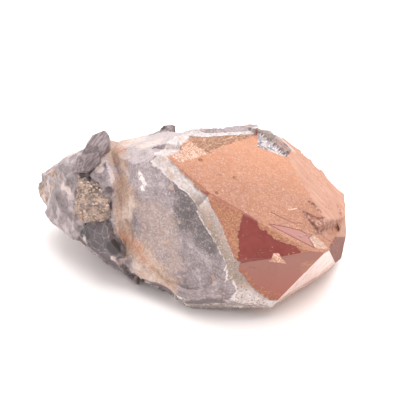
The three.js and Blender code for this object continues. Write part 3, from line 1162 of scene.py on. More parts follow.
class Skin:
    """What the parts of the stained skin share: nodes, places, grains and ragged borders."""

    def __init__(self, nodes, groups, settings):
        self.nodes, self.settings = nodes, settings
        self.at = nodes.millimetres()
        self.across, self.along, self.height = nodes.parts(self.at)
        self.grain = nodes.use(groups["grain"], Position=self.at, Size=0.34)
        self.patch = ragged_patches(nodes, groups, self.at)
        self.rim = nodes.mark("rim")
        self.front = nodes.mark("front")
        self.ochre = self.ochre_coat()

    def face(self, name, softness=0.1):
        """A mask of one of the named faces."""
        return self.nodes.step(self.nodes.mark(name), -softness, softness)

    def speckled(self, base, dark, light, low=0.3, high=0.7):
        """A base colour with darker and lighter grains."""
        shaded = self.nodes.blend(self.nodes.step(self.grain["Light"], 0.5, low), base, dark)
        return self.nodes.blend(self.nodes.step(self.grain["Light"], 0.5, high), shaded, light)

    def specks(self, size, share, crowd):
        """Scattered specks of about that size, gathered into crowds."""
        chosen = self.nodes.step(self.nodes.cell_value(self.at, size), 1 - share, 1 - 0.7 * share)
        return self.nodes.product(chosen, self.nodes.step(self.nodes.noise(self.at, crowd, 3.0), 0.42, 0.6))

    def ochre_coat(self):
        """The ochre coat of the front, mottled with mauve."""
        nodes = self.nodes
        mauve = nodes.product(nodes.step(nodes.noise(self.at, 0.9, 4.0, 0.7), 0.53, 0.58),
                              nodes.step(nodes.noise(self.at, 4.0, 2.0), 0.42, 0.55), 0.8)
        ochre = self.speckled(self.settings.ochre, (0.26, 0.11, 0.07), (0.42, 0.21, 0.13), 0.25, 0.75)
        return nodes.blend(mauve, ochre, (0.30, 0.105, 0.09))


def peach_coat(skin):
    """The peach coat, brightened towards the crest and dulled towards the front by painted light and shade
    with some random tone, and paler behind.
    """
    nodes, at = skin.nodes, skin.at
    # Painted light and shade: the coat goes from its shaded copy towards the front to its lit colour
    # towards the crest.
    slope = nodes.step(nodes.less(skin.along, skin.across), -44.0, -3.0)
    light_and_tone = nodes.total(slope, nodes.product(nodes.swing(at, 9.0, 4.0, 0.6), 0.9))
    peach = nodes.blend(light_and_tone, skin.settings.shaded_peach, skin.settings.peach)
    peach = nodes.lay(peach, skin.speckled(peach, (0.36, 0.165, 0.12), (0.62, 0.33, 0.22)), 0.4)
    peach = nodes.lay(peach, (0.42, 0.27, 0.24), skin.specks(0.7, 0.22, 6.0), 0.4)
    peach = nodes.lay(peach, (0.66, 0.42, 0.32), skin.specks(0.45, 0.03, 4.0), 0.5)
    streaks = nodes.streaks(at, (60, 5), 8.0, 0.7, 3.0, 0.6)
    peach = nodes.lay(peach, (0.62, 0.40, 0.32), nodes.step(streaks, 0.55, 0.8, 0.0, 0.35))
    scored = nodes.streaks(at, (-15, -31), 6.0, 0.4, 4.0, 0.6)
    paler = nodes.blend(nodes.step(scored, 0.35, 0.65), (0.41, 0.205, 0.145), (0.55, 0.32, 0.24))
    paler = nodes.lay(paler, (0.36, 0.10, 0.07), skin.specks(0.5, 0.06, 5.0), 0.8)
    return nodes.lay(peach, paler, skin.face("backtop", 0.3), 0.85)


def end_face(skin, colour):
    """The end of the tip: peach above, dull brown-red below."""
    nodes = skin.nodes
    end = skin.face("end", 0.15)
    pale = skin.speckled((0.46, 0.25, 0.175), (0.36, 0.19, 0.14), (0.54, 0.34, 0.26))
    colour = nodes.lay(colour, pale, end, 0.6)
    slant = nodes.total(skin.height, nodes.product(skin.along, 0.62))
    dull = skin.speckled((0.20, 0.075, 0.055), (0.155, 0.06, 0.045), (0.25, 0.11, 0.085))
    return nodes.lay(colour, dull, end, nodes.step(slant, 19.4, 18.8))


def front_face(skin, colour):
    """The front face: an ochre coat flaked away from a window of dark red jasper."""
    nodes, at = skin.nodes, skin.at
    front = nodes.step(skin.front, -0.12, 0.12)
    feathers = nodes.product(nodes.step(nodes.streaks(at, (39, 0), 2.4, 0.7, 5.0, 0.7), 0.6, 0.64),
                             nodes.step(nodes.noise(at, 3.4, 2.0), 0.54, 0.62))
    coated = nodes.highest(feathers, skin.specks(0.42, 0.03, 3.0))
    window = nodes.product(skin.patch("window", 1.0, 0.9, 0.06), nodes.other(coated))
    clouds = nodes.step(nodes.noise(at, 3.0, 3.0), 0.35, 0.65)
    jasper = nodes.blend(clouds, skin.settings.jasper, (0.20, 0.036, 0.03))
    colour = nodes.lay(colour, nodes.blend(window, skin.ochre, jasper), front)
    return colour, nodes.product(window, front)


def lower_front_face(skin, colour):
    """The lower front face: dusky red, gritty with ochre along its rim."""
    nodes = skin.nodes
    lower = skin.face("lower")
    gritty = skin.patch(nodes.less(2.2, skin.rim), 2.6, 0.8, 0.5)
    dusky = nodes.blend(nodes.step(skin.height, 7.0, 22.0), skin.settings.dusky_red, (0.275, 0.11, 0.085))
    grit = nodes.step(nodes.noise(skin.at, 0.7, 3.0, 0.7), 0.4, 0.52)
    colour = nodes.lay(colour, nodes.lay(dusky, skin.ochre, gritty, grit, 0.9), lower)
    worn_patch = nodes.product(nodes.step(skin.across, 42.6, 43.6), nodes.step(skin.height, 20.4, 19.6),
                               nodes.step(skin.height, 14.5, 15.5))
    colour = nodes.lay(colour, skin.ochre, worn_patch, lower, 0.8)
    return colour, nodes.product(lower, nodes.other(gritty))


def pink_strip(skin, colour):
    """The pink strip above the front face, in a thin dark outline, and the pale plate beside it."""
    nodes = skin.nodes
    mark = nodes.mark("pink")
    pink = skin.patch(mark, 0.12, 1.0, 0.06)
    colour = nodes.lay(colour, (0.38, 0.165, 0.145), pink)
    pale = skin.speckled((0.46, 0.29, 0.225), (0.36, 0.22, 0.17), (0.56, 0.4, 0.32))
    colour = nodes.lay(colour, pale, skin.patch("plate", 0.3, 1.0, 0.08))
    return colour, pink, nodes.step(nodes.size_of(nodes.total(mark, 0.1)), 0.2, 0.08)


def fine_lines(skin, colour, lines):
    """The dark lines of the flake's lip and the crack, the pale scratch and the front's red hem."""
    nodes = skin.nodes

    def line(name, width):
        near = nodes.step(nodes.size_of(nodes.mark(name + "_side")), width, 0.1)
        return nodes.product(near, nodes.step(nodes.mark(name + "_span"), -0.1, 0.3))

    lines = nodes.highest(lines, line("lip", 0.22), line("crack", 0.22))
    colour = nodes.lay(colour, (0.17, 0.06, 0.05), lines, 0.75)
    colour = nodes.lay(colour, (0.72, 0.52, 0.43), line("scratch", 0.25), 0.8)
    hem = nodes.product(nodes.step(skin.front, -0.7, -0.4), nodes.step(skin.front, 0.1, -0.1),
                        nodes.step(skin.across, 31.5, 29.0))
    return nodes.lay(colour, (0.27, 0.085, 0.07), hem, 0.8), lines


def bright_bevel(skin, colour):
    """The bright bevel, its pale pink partly a painted reflection of the white floor, scored along its
    length, and the brown layers under it.
    """
    nodes, at = skin.nodes, skin.at
    bevel = skin.face("bevel")
    scored = nodes.step(nodes.streaks(at, (12, 61), 7.0, 0.35, 2.0), 0.55, 0.66)
    # Partly painted reflection: the bevel's pale pink stands in for the floor it reflects, while the dark
    # scoring is its own.
    colour = nodes.lay(colour, nodes.blend(scored, (0.69, 0.50, 0.45), (0.36, 0.22, 0.18)), bevel)
    along_edge = nodes.product(nodes.step(nodes.mark("layers"), -3.4, -3.1), bevel)
    banded = nodes.step(nodes.streaks(at, (68, 8), 8.0, 0.3, 2.0), 0.42, 0.58)
    brown = nodes.blend(banded, (0.34, 0.17, 0.12), (0.66, 0.44, 0.34))
    return nodes.lay(colour, brown, nodes.highest(skin.face("layers"), along_edge)), bevel


def gritty_breaks(skin, colour):
    """The fibrous trench along the crest, with its pale end, and the flake at the near corner."""
    nodes, at = skin.nodes, skin.at
    trench = skin.patch("crest_trench", 0.5, 1.2, 0.2)
    fibrous = nodes.step(nodes.streaks(at, (85, -8), 1.3, 0.5, 4.0, 0.7), 0.36, 0.64)
    colour = nodes.lay(colour, nodes.blend(fibrous, (0.34, 0.165, 0.105), (0.66, 0.40, 0.28)), trench)
    crest_end = nodes.product(nodes.highest(trench, nodes.step(skin.height, 33.2, 34.0)),
                              nodes.step(skin.along, 17.0, 18.5))
    whitish = skin.speckled((0.58, 0.51, 0.51), (0.40, 0.34, 0.34), (0.74, 0.68, 0.68))
    colour = nodes.lay(colour, whitish, crest_end, 0.85)
    gritty = skin.speckled((0.56, 0.33, 0.235), (0.40, 0.22, 0.16), (0.68, 0.48, 0.39), 0.42, 0.58)
    colour = nodes.lay(colour, gritty, skin.patch("corner_flake", 0.6, 1.5, 0.2), 0.8)
    return colour, trench, nodes.product(fibrous, trench)


def tip_ledge(skin, colour):
    """Painted shade on the walls of the ledge, the wedge and the groove by the tip, and the small crystal
    that lies below it.
    """
    nodes = skin.nodes
    # Painted shade: the walls of the sunk wedge, the groove and the tip's steps get a dark red-brown.
    side = nodes.highest(skin.patch("wedge", 0.25, 0.9, 0.12), skin.patch("groove", 0.25, 0.9, 0.12),
                         nodes.product(skin.patch("step_wall", 0.2, 0.9, 0.12), 0.8))
    shade = nodes.step(nodes.noise(skin.at, 1.0, 4.0, 0.65), 0.42, 0.58)
    colour = nodes.lay(colour, nodes.blend(shade, (0.25, 0.10, 0.08), (0.42, 0.26, 0.20)), side, 0.9)
    seed = skin.face("seed")
    peach = skin.speckled((0.55, 0.32, 0.22), (0.42, 0.2, 0.15), (0.66, 0.46, 0.36))
    return nodes.lay(colour, peach, seed), side, seed


def crest_notch(skin, colour):
    """The notch lined with small quartz points, its pale crown and its red hem."""
    nodes = skin.nodes
    mark = nodes.mark("corner_notch")
    notch = skin.patch(mark, 0.3, 1.2, 0.15)
    facets = nodes.step(nodes.cell_value(skin.at, 0.8), 0.2, 0.9)
    colour = nodes.lay(colour, nodes.blend(facets, (0.22, 0.18, 0.19), (0.58, 0.52, 0.53)), notch)
    crown = skin.patch(nodes.total(mark, 1.0), 2.4, 1.4, 0.5)
    colour = nodes.lay(colour, (0.62, 0.52, 0.49), crown, nodes.other(notch),
                       nodes.step(skin.along, 19.5, 21.5), 0.7)
    hem = skin.patch(nodes.total(mark, 1.2), 0.8, 1.2, 0.2)
    colour = nodes.lay(colour, (0.40, 0.16, 0.13), hem, nodes.other(notch),
                       nodes.step(skin.across, 17.5, 15.5), nodes.step(skin.along, 12.0, 13.0), 0.7)
    return colour, notch


def stained_skin(groups, settings):
    """The natural faces: matte peach iron coat above, glossy red jasper in front."""
    material, nodes, shader = new_material("stained skin")
    skin = Skin(nodes, groups, settings)
    colour = end_face(skin, peach_coat(skin))
    colour, window = front_face(skin, colour)
    colour, glossy = lower_front_face(skin, colour)
    colour, pink, outline = pink_strip(skin, colour)
    colour, lines = fine_lines(skin, colour, outline)
    colour, bevel = bright_bevel(skin, colour)
    colour, trench, fibres = gritty_breaks(skin, colour)
    colour, ledge_shade, seed = tip_ledge(skin, colour)
    colour, notch = crest_notch(skin, colour)
    rind = nodes.use(groups["rind"], Position=skin.at, Rim=skin.rim)
    nodes.put(shader["Base Color"], nodes.lay(colour, rind["Colour"], rind["Mask"]))

    covered = nodes.highest(rind["Mask"], trench, notch, seed, ledge_shade)
    shiny = nodes.product(nodes.highest(window, glossy, pink, bevel), nodes.other(covered))
    nodes.put(shader["Roughness"], nodes.mix(shiny, 0.7, 0.24))
    nodes.put(shader["Coat Weight"], nodes.product(shiny, 0.25))
    shader["Coat Roughness"].default_value = 0.08
    shader["Specular IOR Level"].default_value = 0.25
    raised = nodes.total(nodes.product(skin.grain["Height"], nodes.mix(shiny, 0.1, 0.0)),
                         nodes.product(rind["Height"], rind["Mask"]), nodes.product(fibres, 0.25))
    sunk = nodes.total(nodes.product(window, 0.10), nodes.product(lines, 0.12))
    nodes.put(shader["Normal"], bumped(nodes, nodes.less(raised, sunk)))
    return material


def massive_quartz(groups, settings):
    """The broken quartz of the body: lavender grey, smoky and iron stained in places."""
    material, nodes, shader = new_material("massive quartz")
    at = nodes.millimetres()
    _, along, height = nodes.parts(at)
    upward = nodes.parts(nodes.add("ShaderNodeNewGeometry").outputs["Normal"])[2]
    patch = ragged_patches(nodes, groups, at)
    quartz = nodes.use(groups["quartz"], Position=at, Dark=settings.quartz_dark,
                       Light=settings.quartz_light)
    fine = nodes.noise(at, 0.8, 4.0, 0.6)

    # Smoky and warm zones, painted light on faces that look up, a grey band along the crest and painted
    # shade on faces that look down.
    colour = nodes.lay(quartz["Colour"], (0.112, 0.088, 0.091), patch("smoky", 3.0, 4.0, 1.6), 0.92)
    colour = nodes.lay(colour, (0.40, 0.29, 0.245), patch("warm", 3.0, 5.0, 2.0), 0.7)
    # Painted light: faces that look up are lightened towards a pale lavender.
    colour = nodes.lay(colour, (0.55, 0.45, 0.455), nodes.step(upward, 0.45, 0.8, 0.0, 0.7))
    colour = nodes.lay(colour, (0.30, 0.228, 0.235), nodes.step(height, 33.0, 35.0),
                       nodes.step(along, -2.0, 4.0), 0.9)
    # Painted shade: faces that look down are darkened.
    colour = nodes.lay(colour, UNDERSIDE_SHADE, nodes.step(upward, -0.25, -0.6, 0.0, 0.9))

    # Iron stains, cream patches, white streaks, painted shade on the low ledge, and flecks and grains.
    colour = nodes.use(groups["stain"], Position=at, Sandy=nodes.mark("sandy"), Stain=nodes.mark("stain"),
                       Under=colour)["Colour"]
    colour = nodes.lay(colour, (0.68, 0.53, 0.46), patch("cream", 3.0, 3.4, 1.3), 0.75)
    colour = nodes.lay(colour, (0.84, 0.78, 0.76), patch("streak", 1.5, 0.9, 0.2), 0.9)
    # Painted shade on the low ledge by the floor.
    colour = nodes.lay(colour, LEDGE_SHADE, patch("ledge", 0.5, 2.0, 0.3), 0.9)
    colour = nodes.lay(colour, (0.60, 0.52, 0.53), nodes.step(fine, 0.6, 0.66),
                       nodes.step(quartz["Cloud"], 0.42, 0.6), 0.55)
    grain = nodes.use(groups["grain"], Position=at, Size=0.45)["Light"]
    colour = nodes.lay(colour, (0.12, 0.09, 0.09), nodes.step(grain, 0.55, 0.3, 0.0, 0.25))
    colour = nodes.lay(colour, (0.66, 0.58, 0.57), nodes.step(grain, 0.5, 0.75, 0.0, 0.22))
    tan = nodes.step(nodes.cell_value(at, 1.1), 0.975, 0.985)
    colour = nodes.lay(colour, (0.55, 0.37, 0.28), tan, 0.6)

    rind = nodes.use(groups["rind"], Position=at, Rim=nodes.mark("rim"))
    colour = nodes.lay(colour, rind["Colour"], rind["Mask"])
    # Painted shade once more on faces that look down, laid over the rind too.
    colour = nodes.lay(colour, UNDERSIDE_SHADE, nodes.step(upward, -0.4, -0.65, 0.0, 0.55))
    nodes.put(shader["Base Color"], colour)
    nodes.put(shader["Roughness"], nodes.mix(rind["Mask"], nodes.step(fine, 0.3, 0.7, 0.3, 0.5), 0.65))
    bump = nodes.total(nodes.product(fine, 0.11), nodes.product(nodes.noise(at, 3.0, 5.0, 0.62, 0.8), 0.55),
                       nodes.product(rind["Height"], rind["Mask"]))
    nodes.put(shader["Normal"], bumped(nodes, bump))
    shader["Specular IOR Level"].default_value = 0.4
    shader["Subsurface Weight"].default_value = 0.1
    shader["Subsurface Radius"].default_value = (1.0, 0.75, 0.75)
    shader["Subsurface Scale"].default_value = 1.5 * MM
    return material


def broken_root(groups, settings):
    """The root: blocky grey-purple quartz with tan crust and near-black glassy breaks."""
    material, nodes, shader = new_material("broken root")
    at = nodes.millimetres()
    patch = ragged_patches(nodes, groups, at)
    quartz = nodes.use(groups["quartz"], Position=at, Dark=(0.175, 0.135, 0.137), Light=(0.40, 0.325, 0.33),
                       Veins=0.2)
    grain = nodes.use(groups["grain"], Position=at, Size=0.6)

    # Blocks and shards, each a shade of its own.
    block = nodes.total(nodes.product(nodes.mark("break"), 0.35), nodes.noise(at, 3.0, 5.0, 0.65))
    colour = nodes.lay(quartz["Colour"], (0.19, 0.15, 0.155), nodes.step(block, 0.5, 0.85, 0.0, 0.6))
    colour = nodes.lay(colour, (0.60, 0.50, 0.50), nodes.step(block, 0.45, 0.15, 0.0, 0.6))
    shards = nodes.cell_value(at, 1.7)
    colour = nodes.lay(colour, (0.13, 0.10, 0.105), nodes.step(shards, 0.55, 1.0, 0.0, 0.4))
    colour = nodes.lay(colour, (0.58, 0.50, 0.50), nodes.step(shards, 0.4, 0.0, 0.0, 0.3))

    # The striated splinters, and the glassy breaks with their net of pale seams.
    splinter = patch("splinter", 0.3, 1.5, 0.3)
    striations = nodes.streaks(at, (62, 44), 7.0, 0.5, 4.0, 0.6)
    striated = nodes.blend(nodes.step(striations, 0.35, 0.65), (0.155, 0.12, 0.125), (0.35, 0.275, 0.28))
    colour = nodes.lay(colour, striated, splinter)
    glassy = patch("glassy", 0.8, 1.6, 0.4)
    glass = nodes.blend(nodes.step(block, 0.3, 0.75), (0.105, 0.083, 0.087), (0.05, 0.04, 0.043))
    colour = nodes.lay(colour, glass, glassy, 0.92)
    seams = nodes.step(nodes.cells(at, 3.4, "Distance", "DISTANCE_TO_EDGE"), 0.05, 0.0)
    faint = nodes.use(groups["grain"], Position=at, Size=0.45)["Light"]
    colour = nodes.lay(colour, (0.36, 0.30, 0.31), seams, glassy, nodes.step(faint, 0.25, 0.6, 0.0, 0.6))
    colour = nodes.lay(colour, (0.042, 0.034, 0.037), patch("smoky", 0.4, 2.0, 0.3), 0.9)

    # Iron stains, the tan crust, cream patches and painted shade on the low ledge.
    colour = nodes.use(groups["stain"], Position=at, Sandy=nodes.less(nodes.mark("sandy"), 2.5),
                       Stain=nodes.less(nodes.mark("stain"), 1.5), Under=colour)["Colour"]
    crust = patch(nodes.less(nodes.mark("crust"), 0.8), 4.2, 3.2, 0.3)
    mottle = nodes.total(nodes.product(grain["Light"], 0.2), nodes.product(
        nodes.noise(at, 3.4, 5.0, 0.65), 1.1))
    tan = nodes.blend(nodes.step(mottle, 0.52, 0.76), (0.20, 0.155, 0.14), settings.crumbs)
    colour = nodes.lay(colour, tan, crust, 0.92)
    cream = patch("cream", 1.4, 1.6, 0.5)
    colour = nodes.lay(colour, (0.70, 0.57, 0.535), cream, 0.85)
    # Painted shade on the low ledge by the floor.
    colour = nodes.lay(colour, LEDGE_SHADE, patch("ledge", 0.5, 2.0, 0.3), 0.9)
    nodes.put(shader["Base Color"], colour)

    dull = nodes.highest(crust, cream)
    gloss = nodes.product(glassy, nodes.other(dull))
    nodes.put(shader["Roughness"], nodes.mix(gloss, nodes.mix(dull, 0.5, 0.8), 0.2))
    roughened = nodes.mix(crust, nodes.mix(gloss, 0.14, 0.0), 0.6)
    bump = nodes.total(nodes.product(grain["Height"], roughened), nodes.product(striations, splinter, 0.5),
                       nodes.product(shards, nodes.other(crust), 0.2))
    nodes.put(shader["Normal"], bumped(nodes, bump))
    shader["Specular IOR Level"].default_value = 0.4
    return material


# ---------------------------------------------------------------- loose grains


def loose_grains(name, dark, light, roughness):
    """The matter of the scattered grains, each of them a shade of its own."""
    material, nodes, shader = new_material(name)
    at = nodes.millimetres()
    grain = nodes.use(bpy.data.node_groups[GRAIN_GROUP], Position=at, Size=0.9)
    shade = nodes.total(nodes.product(grain["Value"], 0.5), nodes.noise(at, 3.4, 5.0, 0.65))
    nodes.put(shader["Base Color"], nodes.blend(nodes.step(shade, 0.45, 1.0), dark, light))
    nodes.put(shader["Roughness"], nodes.step(grain["Light"], 0.2, 0.8, roughness, roughness + 0.1))
    shader["Specular IOR Level"].default_value = 0.35
    return material


def scatter_tree(name, pointed):
    """A tree that scatters blunt grains, or pointed crystals, over the faces it is given."""
    tree = bpy.data.node_groups.new(name, "GeometryNodeTree")
    tree.is_modifier = True
    tree.interface.new_socket("Geometry", in_out="INPUT", socket_type="NodeSocketGeometry")
    for label in ("Spacing", "Smallest", "Largest"):
        tree.interface.new_socket(label, in_out="INPUT", socket_type="NodeSocketFloat")
    tree.interface.new_socket("Material", in_out="INPUT", socket_type="NodeSocketMaterial")
    tree.interface.new_socket("Geometry", in_out="OUTPUT", socket_type="NodeSocketGeometry")
    nodes = Nodes(tree)
    given = nodes.add("NodeGroupInput").outputs
    spread = nodes.add("GeometryNodeDistributePointsOnFaces", {
        "Mesh": given["Geometry"], "Distance Min": given["Spacing"], "Density Max": MOST_GRAINS,
        "Seed": 5}, distribute_method="POISSON").outputs
    if pointed:
        shape = nodes.add("GeometryNodeMeshCone", {
            "Vertices": 6, "Radius Top": 0.0, "Radius Bottom": 0.7, "Depth": 2.0}).outputs["Mesh"]
        turn = spread["Rotation"]
    else:
        shape = nodes.add("GeometryNodeMeshIcoSphere", {"Radius": 1.0, "Subdivisions": 1}).outputs["Mesh"]
        turn = nodes.add("FunctionNodeRandomValue", {1: (math.tau, math.tau, math.tau), "Seed": 3},
                         data_type="FLOAT_VECTOR").outputs[0]
    size = nodes.add("FunctionNodeRandomValue", {2: given["Smallest"], 3: given["Largest"], "Seed": 8},
                     data_type="FLOAT").outputs[1]
    drawn = nodes.add("FunctionNodeRandomValue", {0: (0.5, 0.5, 0.5), 1: (1.5, 1.5, 1.5), "Seed": 11},
                      data_type="FLOAT_VECTOR").outputs[0]
    scale = nodes.add("ShaderNodeVectorMath", {0: drawn, "Scale": size}, operation="SCALE").outputs[0]
    placed = nodes.add("GeometryNodeInstanceOnPoints", {
        "Points": spread["Points"], "Instance": shape, "Rotation": turn, "Scale": scale}).outputs[0]
    solid = nodes.add("GeometryNodeRealizeInstances", {"Geometry": placed}).outputs[0]
    painted = nodes.add("GeometryNodeSetMaterial", {"Geometry": solid, "Material": given["Material"]})
    nodes.put(nodes.add("NodeGroupOutput").inputs["Geometry"], painted.outputs[0])
    return tree


def face_corners(stone):
    """The four corners of each face of a mesh, by number."""
    return np.array([face.vertices[:] for face in stone.polygons])


def scatter(name, chosen, tree, spacing, sizes, material):
    """Grains over the chosen faces of the stone, as an object that rides with it.

    The spacing is in metres, and the smallest and the largest size in millimetres.
    """
    stone = bpy.data.objects[STONE].data
    spots = np.empty(3 * len(stone.vertices), np.float32)
    stone.vertices.foreach_get("co", spots)
    spots = spots.reshape(-1, 3)
    used, places = np.unique(face_corners(stone)[chosen], return_inverse=True)
    bed = bpy.data.meshes.new(name + " bed")
    bed.from_pydata(spots[used].tolist(), [], places.reshape(-1, 4).tolist())
    grains = bpy.data.objects.new(name, bed)
    bpy.context.scene.collection.objects.link(grains)
    modifier = grains.modifiers.new("Scatter", "NODES")
    modifier.node_group = tree
    values = {"Spacing": spacing, "Smallest": sizes[0] * MM, "Largest": sizes[1] * MM, "Material": material}
    for label, value in values.items():
        modifier[tree.interface.items_tree[label].identifier] = value
    mesh = bpy.data.meshes.new_from_object(grains.evaluated_get(bpy.context.evaluated_depsgraph_get()))
    grains.modifiers.remove(modifier)
    grains.data = mesh
    bpy.data.meshes.remove(bed)
    if not mesh.polygons:
        raise RuntimeError("no grains were scattered for " + name)
    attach(grains, "root")


def face_middles():
    """The middle of each face of the stone, in millimetres."""
    stone = bpy.data.objects[STONE].data
    spots = np.empty(3 * len(stone.polygons), np.float32)
    stone.polygons.foreach_get("center", spots)
    return spots.reshape(-1, 3) / MM


def mark_on_faces(name):
    """The mean value of a mark on each face of the stone."""
    stone = bpy.data.objects[STONE].data
    values = np.empty(len(stone.vertices), np.float32)
    stone.attributes[name].data.foreach_get("value", values)
    return values[face_corners(stone)].mean(1)


# ---------------------------------------------------------------- the stage


def lay_floor():
    """A wide pale disc for the stone to lie on."""
    bpy.ops.mesh.primitive_circle_add(vertices=96, radius=FLOOR_RADIUS, fill_type="NGON")
    floor = bpy.context.object
    paint, nodes, shader = new_material("pale floor")
    nodes.put(shader["Base Color"], FLOOR_COLOUR)
    nodes.put(shader["Roughness"], 0.8)
    floor.data.materials.append(paint)


def light_the_stage(scene, strength, spread):
    """An even white sky, and one soft sun."""
    scene.world = bpy.data.worlds.new("studio")
    scene.world.use_nodes = True
    sky = scene.world.node_tree.nodes["Background"].inputs
    sky["Strength"].default_value = SKY_STRENGTH
    sky["Color"].default_value = (1, 1, 1, 1)
    scene.view_settings.view_transform = "Standard"
    lamp = bpy.data.lights.new("key", "SUN")
    lamp.energy = strength
    lamp.angle = spread
    key = bpy.data.objects.new("key", lamp)
    key.rotation_euler = Vector(TO_SUN).to_track_quat("Z", "Y").to_euler()
    scene.collection.objects.link(key)


def place_camera(scene):
    """A long lens that looks down at the stone's middle."""
    view = bpy.data.cameras.new("camera")
    view.lens = 100
    view.sensor_width = 36
    camera = bpy.data.objects.new("camera", view)
    back = Vector(directions(*CAMERA_DIRECTION).tolist())
    camera.location = Vector(CAMERA_TARGET) + CAMERA_DISTANCE * back
    camera.rotation_euler = back.to_track_quat("Z", "Y").to_euler()
    scene.collection.objects.link(camera)
    scene.camera = camera


# ---------------------------------------------------------------- settings and operators


def colour_setting(name, description, default):
    return FloatVectorProperty(name=name, description=description, default=default, size=3,
                               subtype="COLOR", min=0.0, max=1.0)


def length_setting(name, description, millimetres):
    return FloatProperty(name=name, description=description, default=millimetres * MM,
                         min=0.1 * MM, max=5 * MM, unit="LENGTH", precision=5)


class CrystalSettings(bpy.types.PropertyGroup):
    """Sizes, colours and light that a user may change before making the stone"""
    mesh_step: length_setting("Mesh step", "Spacing of the stone's surface mesh", 0.46)
    rind_spacing: length_setting("Rind grain spacing", "Least distance between grains of the rind", 0.7)
    crumb_spacing: length_setting("Crumb spacing", "Least distance between crumbs of the crust", 0.8)
    druse_spacing: length_setting("Druse spacing", "Least distance between the notch's small points", 0.9)
    # The peach coat and its painted shaded copy, between which painted light grades the top face.
    peach: colour_setting("Peach coat", "The iron coat near the crest", (0.53, 0.25, 0.15))
    shaded_peach: colour_setting("Dull peach coat", "The iron coat towards the front", (0.335, 0.155, 0.10))
    jasper: colour_setting("Jasper", "The dark red window in the front face", (0.175, 0.027, 0.022))
    ochre: colour_setting("Ochre coat", "The coat around the window", (0.33, 0.145, 0.08))
    dusky_red: colour_setting("Dusky red", "The lower front face", (0.31, 0.096, 0.068))
    quartz_dark: colour_setting("Dark quartz", "The darkest massive quartz", DARK_QUARTZ)
    quartz_light: colour_setting("Light quartz", "The lightest massive quartz", LIGHT_QUARTZ)
    crumbs: colour_setting("Crust", "The tan crust on the root", (0.57, 0.41, 0.325))
    sun_strength: FloatProperty(name="Sun strength", description="Strength of the soft key light",
                                default=2.3, min=0.0, max=10.0)
    sun_spread: FloatProperty(name="Sun spread", description="How soft the key light's shadow is",
                              default=math.radians(65), min=0.0, max=math.pi, subtype="ANGLE")


class CRYSTAL_OT_stone(bpy.types.Operator):
    """Make the stone from its facets, chips and broken faces"""
    bl_idname = "crystal.stone"
    bl_label = "Stone"

    def execute(self, context):
        settings = context.scene.crystal_settings
        mesh, marks, corners, quads = stone_mesh(settings.mesh_step / MM)
        groups = make_groups()
        stone = bpy.data.objects.new(STONE, mesh)
        context.scene.collection.objects.link(stone)
        for make_finish in (stained_skin, massive_quartz, broken_root):
            mesh.materials.append(make_finish(groups, settings))
        finishes = finish_names_at(corners[quads].mean(1).astype(np.float32))
        at_root = np.isin(finishes, [FINISH_NAMES.index(name) for name in ROOT_FINISHES])
        on_skin = marks["rim"][quads].mean(1) > 0.8
        slots = np.where(at_root, 2, np.where(on_skin, 0, 1))
        mesh.polygons.foreach_set("material_index", slots.astype(np.int32))
        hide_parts(NODE)
        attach(stone, "root")
        return {"FINISHED"}


class CRYSTAL_OT_rind_grains(bpy.types.Operator):
    """Scatter the sugary grains of the rind"""
    bl_idname = "crystal.rind_grains"
    bl_label = "Rind grains"

    def execute(self, context):
        settings = context.scene.crystal_settings
        rim, height = mark_on_faces("rim"), face_middles()[:, 2]
        chosen = (rim > -2.3) & (rim < 0.6) & (height > 1.0) & (height < 33.0)
        material = loose_grains("rind grains", (0.30, 0.225, 0.185), (0.56, 0.45, 0.40), 0.6)
        scatter("rind_grains", chosen, scatter_tree("Grains", False), settings.rind_spacing,
                (0.12, 0.28), material)
        return {"FINISHED"}


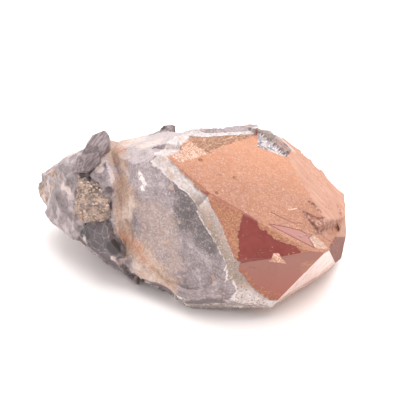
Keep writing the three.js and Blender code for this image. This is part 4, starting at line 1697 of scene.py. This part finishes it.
class CRYSTAL_OT_crust_crumbs(bpy.types.Operator):
    """Scatter the crumbs of the tan crust"""
    bl_idname = "crystal.crust_crumbs"
    bl_label = "Crust crumbs"

    def execute(self, context):
        settings = context.scene.crystal_settings
        spots = face_middles()
        clumped = noise(spots, 2.6, 61) > np.where(spots[:, 0] > -30.0, 0.0, 0.25)
        inside = mark_on_faces("crust") > 1.2 + 1.5 * noise(spots, 3.0, 62)
        material = loose_grains("crust crumbs", (0.34, 0.25, 0.21), settings.crumbs, 0.75)
        scatter("crust_crumbs", clumped & inside, scatter_tree("Crumbs", False), settings.crumb_spacing,
                (0.15, 0.55), material)
        return {"FINISHED"}


class CRYSTAL_OT_druse(bpy.types.Operator):
    """Scatter the small quartz points in the notch of the crest"""
    bl_idname = "crystal.druse"
    bl_label = "Druse"

    def execute(self, context):
        settings = context.scene.crystal_settings
        material = loose_grains("druse points", (0.36, 0.31, 0.32), (0.80, 0.76, 0.76), 0.15)
        scatter("druse_points", mark_on_faces("corner_notch") > 0.2, scatter_tree("Points", True),
                settings.druse_spacing, (0.2, 0.5), material)
        return {"FINISHED"}


class CRYSTAL_OT_stage(bpy.types.Operator):
    """Lay the pale floor and set the lights and the camera"""
    bl_idname = "crystal.stage"
    bl_label = "Stage"

    def execute(self, context):
        settings = context.scene.crystal_settings
        lay_floor()
        light_the_stage(context.scene, settings.sun_strength, settings.sun_spread)
        place_camera(context.scene)
        return {"FINISHED"}


MAKERS = (CRYSTAL_OT_stone, CRYSTAL_OT_rind_grains, CRYSTAL_OT_crust_crumbs, CRYSTAL_OT_druse,
          CRYSTAL_OT_stage)


class CRYSTAL_PT_panel(bpy.types.Panel):
    """The crystal's settings and the buttons that make it"""
    bl_idname = "CRYSTAL_PT_panel"
    bl_label = "Auralite crystal"
    bl_space_type = "VIEW_3D"
    bl_region_type = "UI"
    bl_category = "Crystal"

    def draw(self, context):
        for setting in CrystalSettings.__annotations__:
            self.layout.prop(context.scene.crystal_settings, setting)
        for maker in MAKERS:
            self.layout.operator(maker.bl_idname)


CLASSES = (CrystalSettings, *MAKERS, CRYSTAL_PT_panel)


def register():
    for item in CLASSES:
        bpy.utils.register_class(item)
    bpy.types.Scene.crystal_settings = PointerProperty(type=CrystalSettings)


def unregister():
    del bpy.types.Scene.crystal_settings
    for item in reversed(CLASSES):
        bpy.utils.unregister_class(item)


def main():
    register()
    bpy.ops.crystal.stone()
    bpy.ops.crystal.rind_grains()
    bpy.ops.crystal.crust_crumbs()
    bpy.ops.crystal.druse()
    bpy.ops.crystal.stage()


if __name__ == "__main__":
    main()
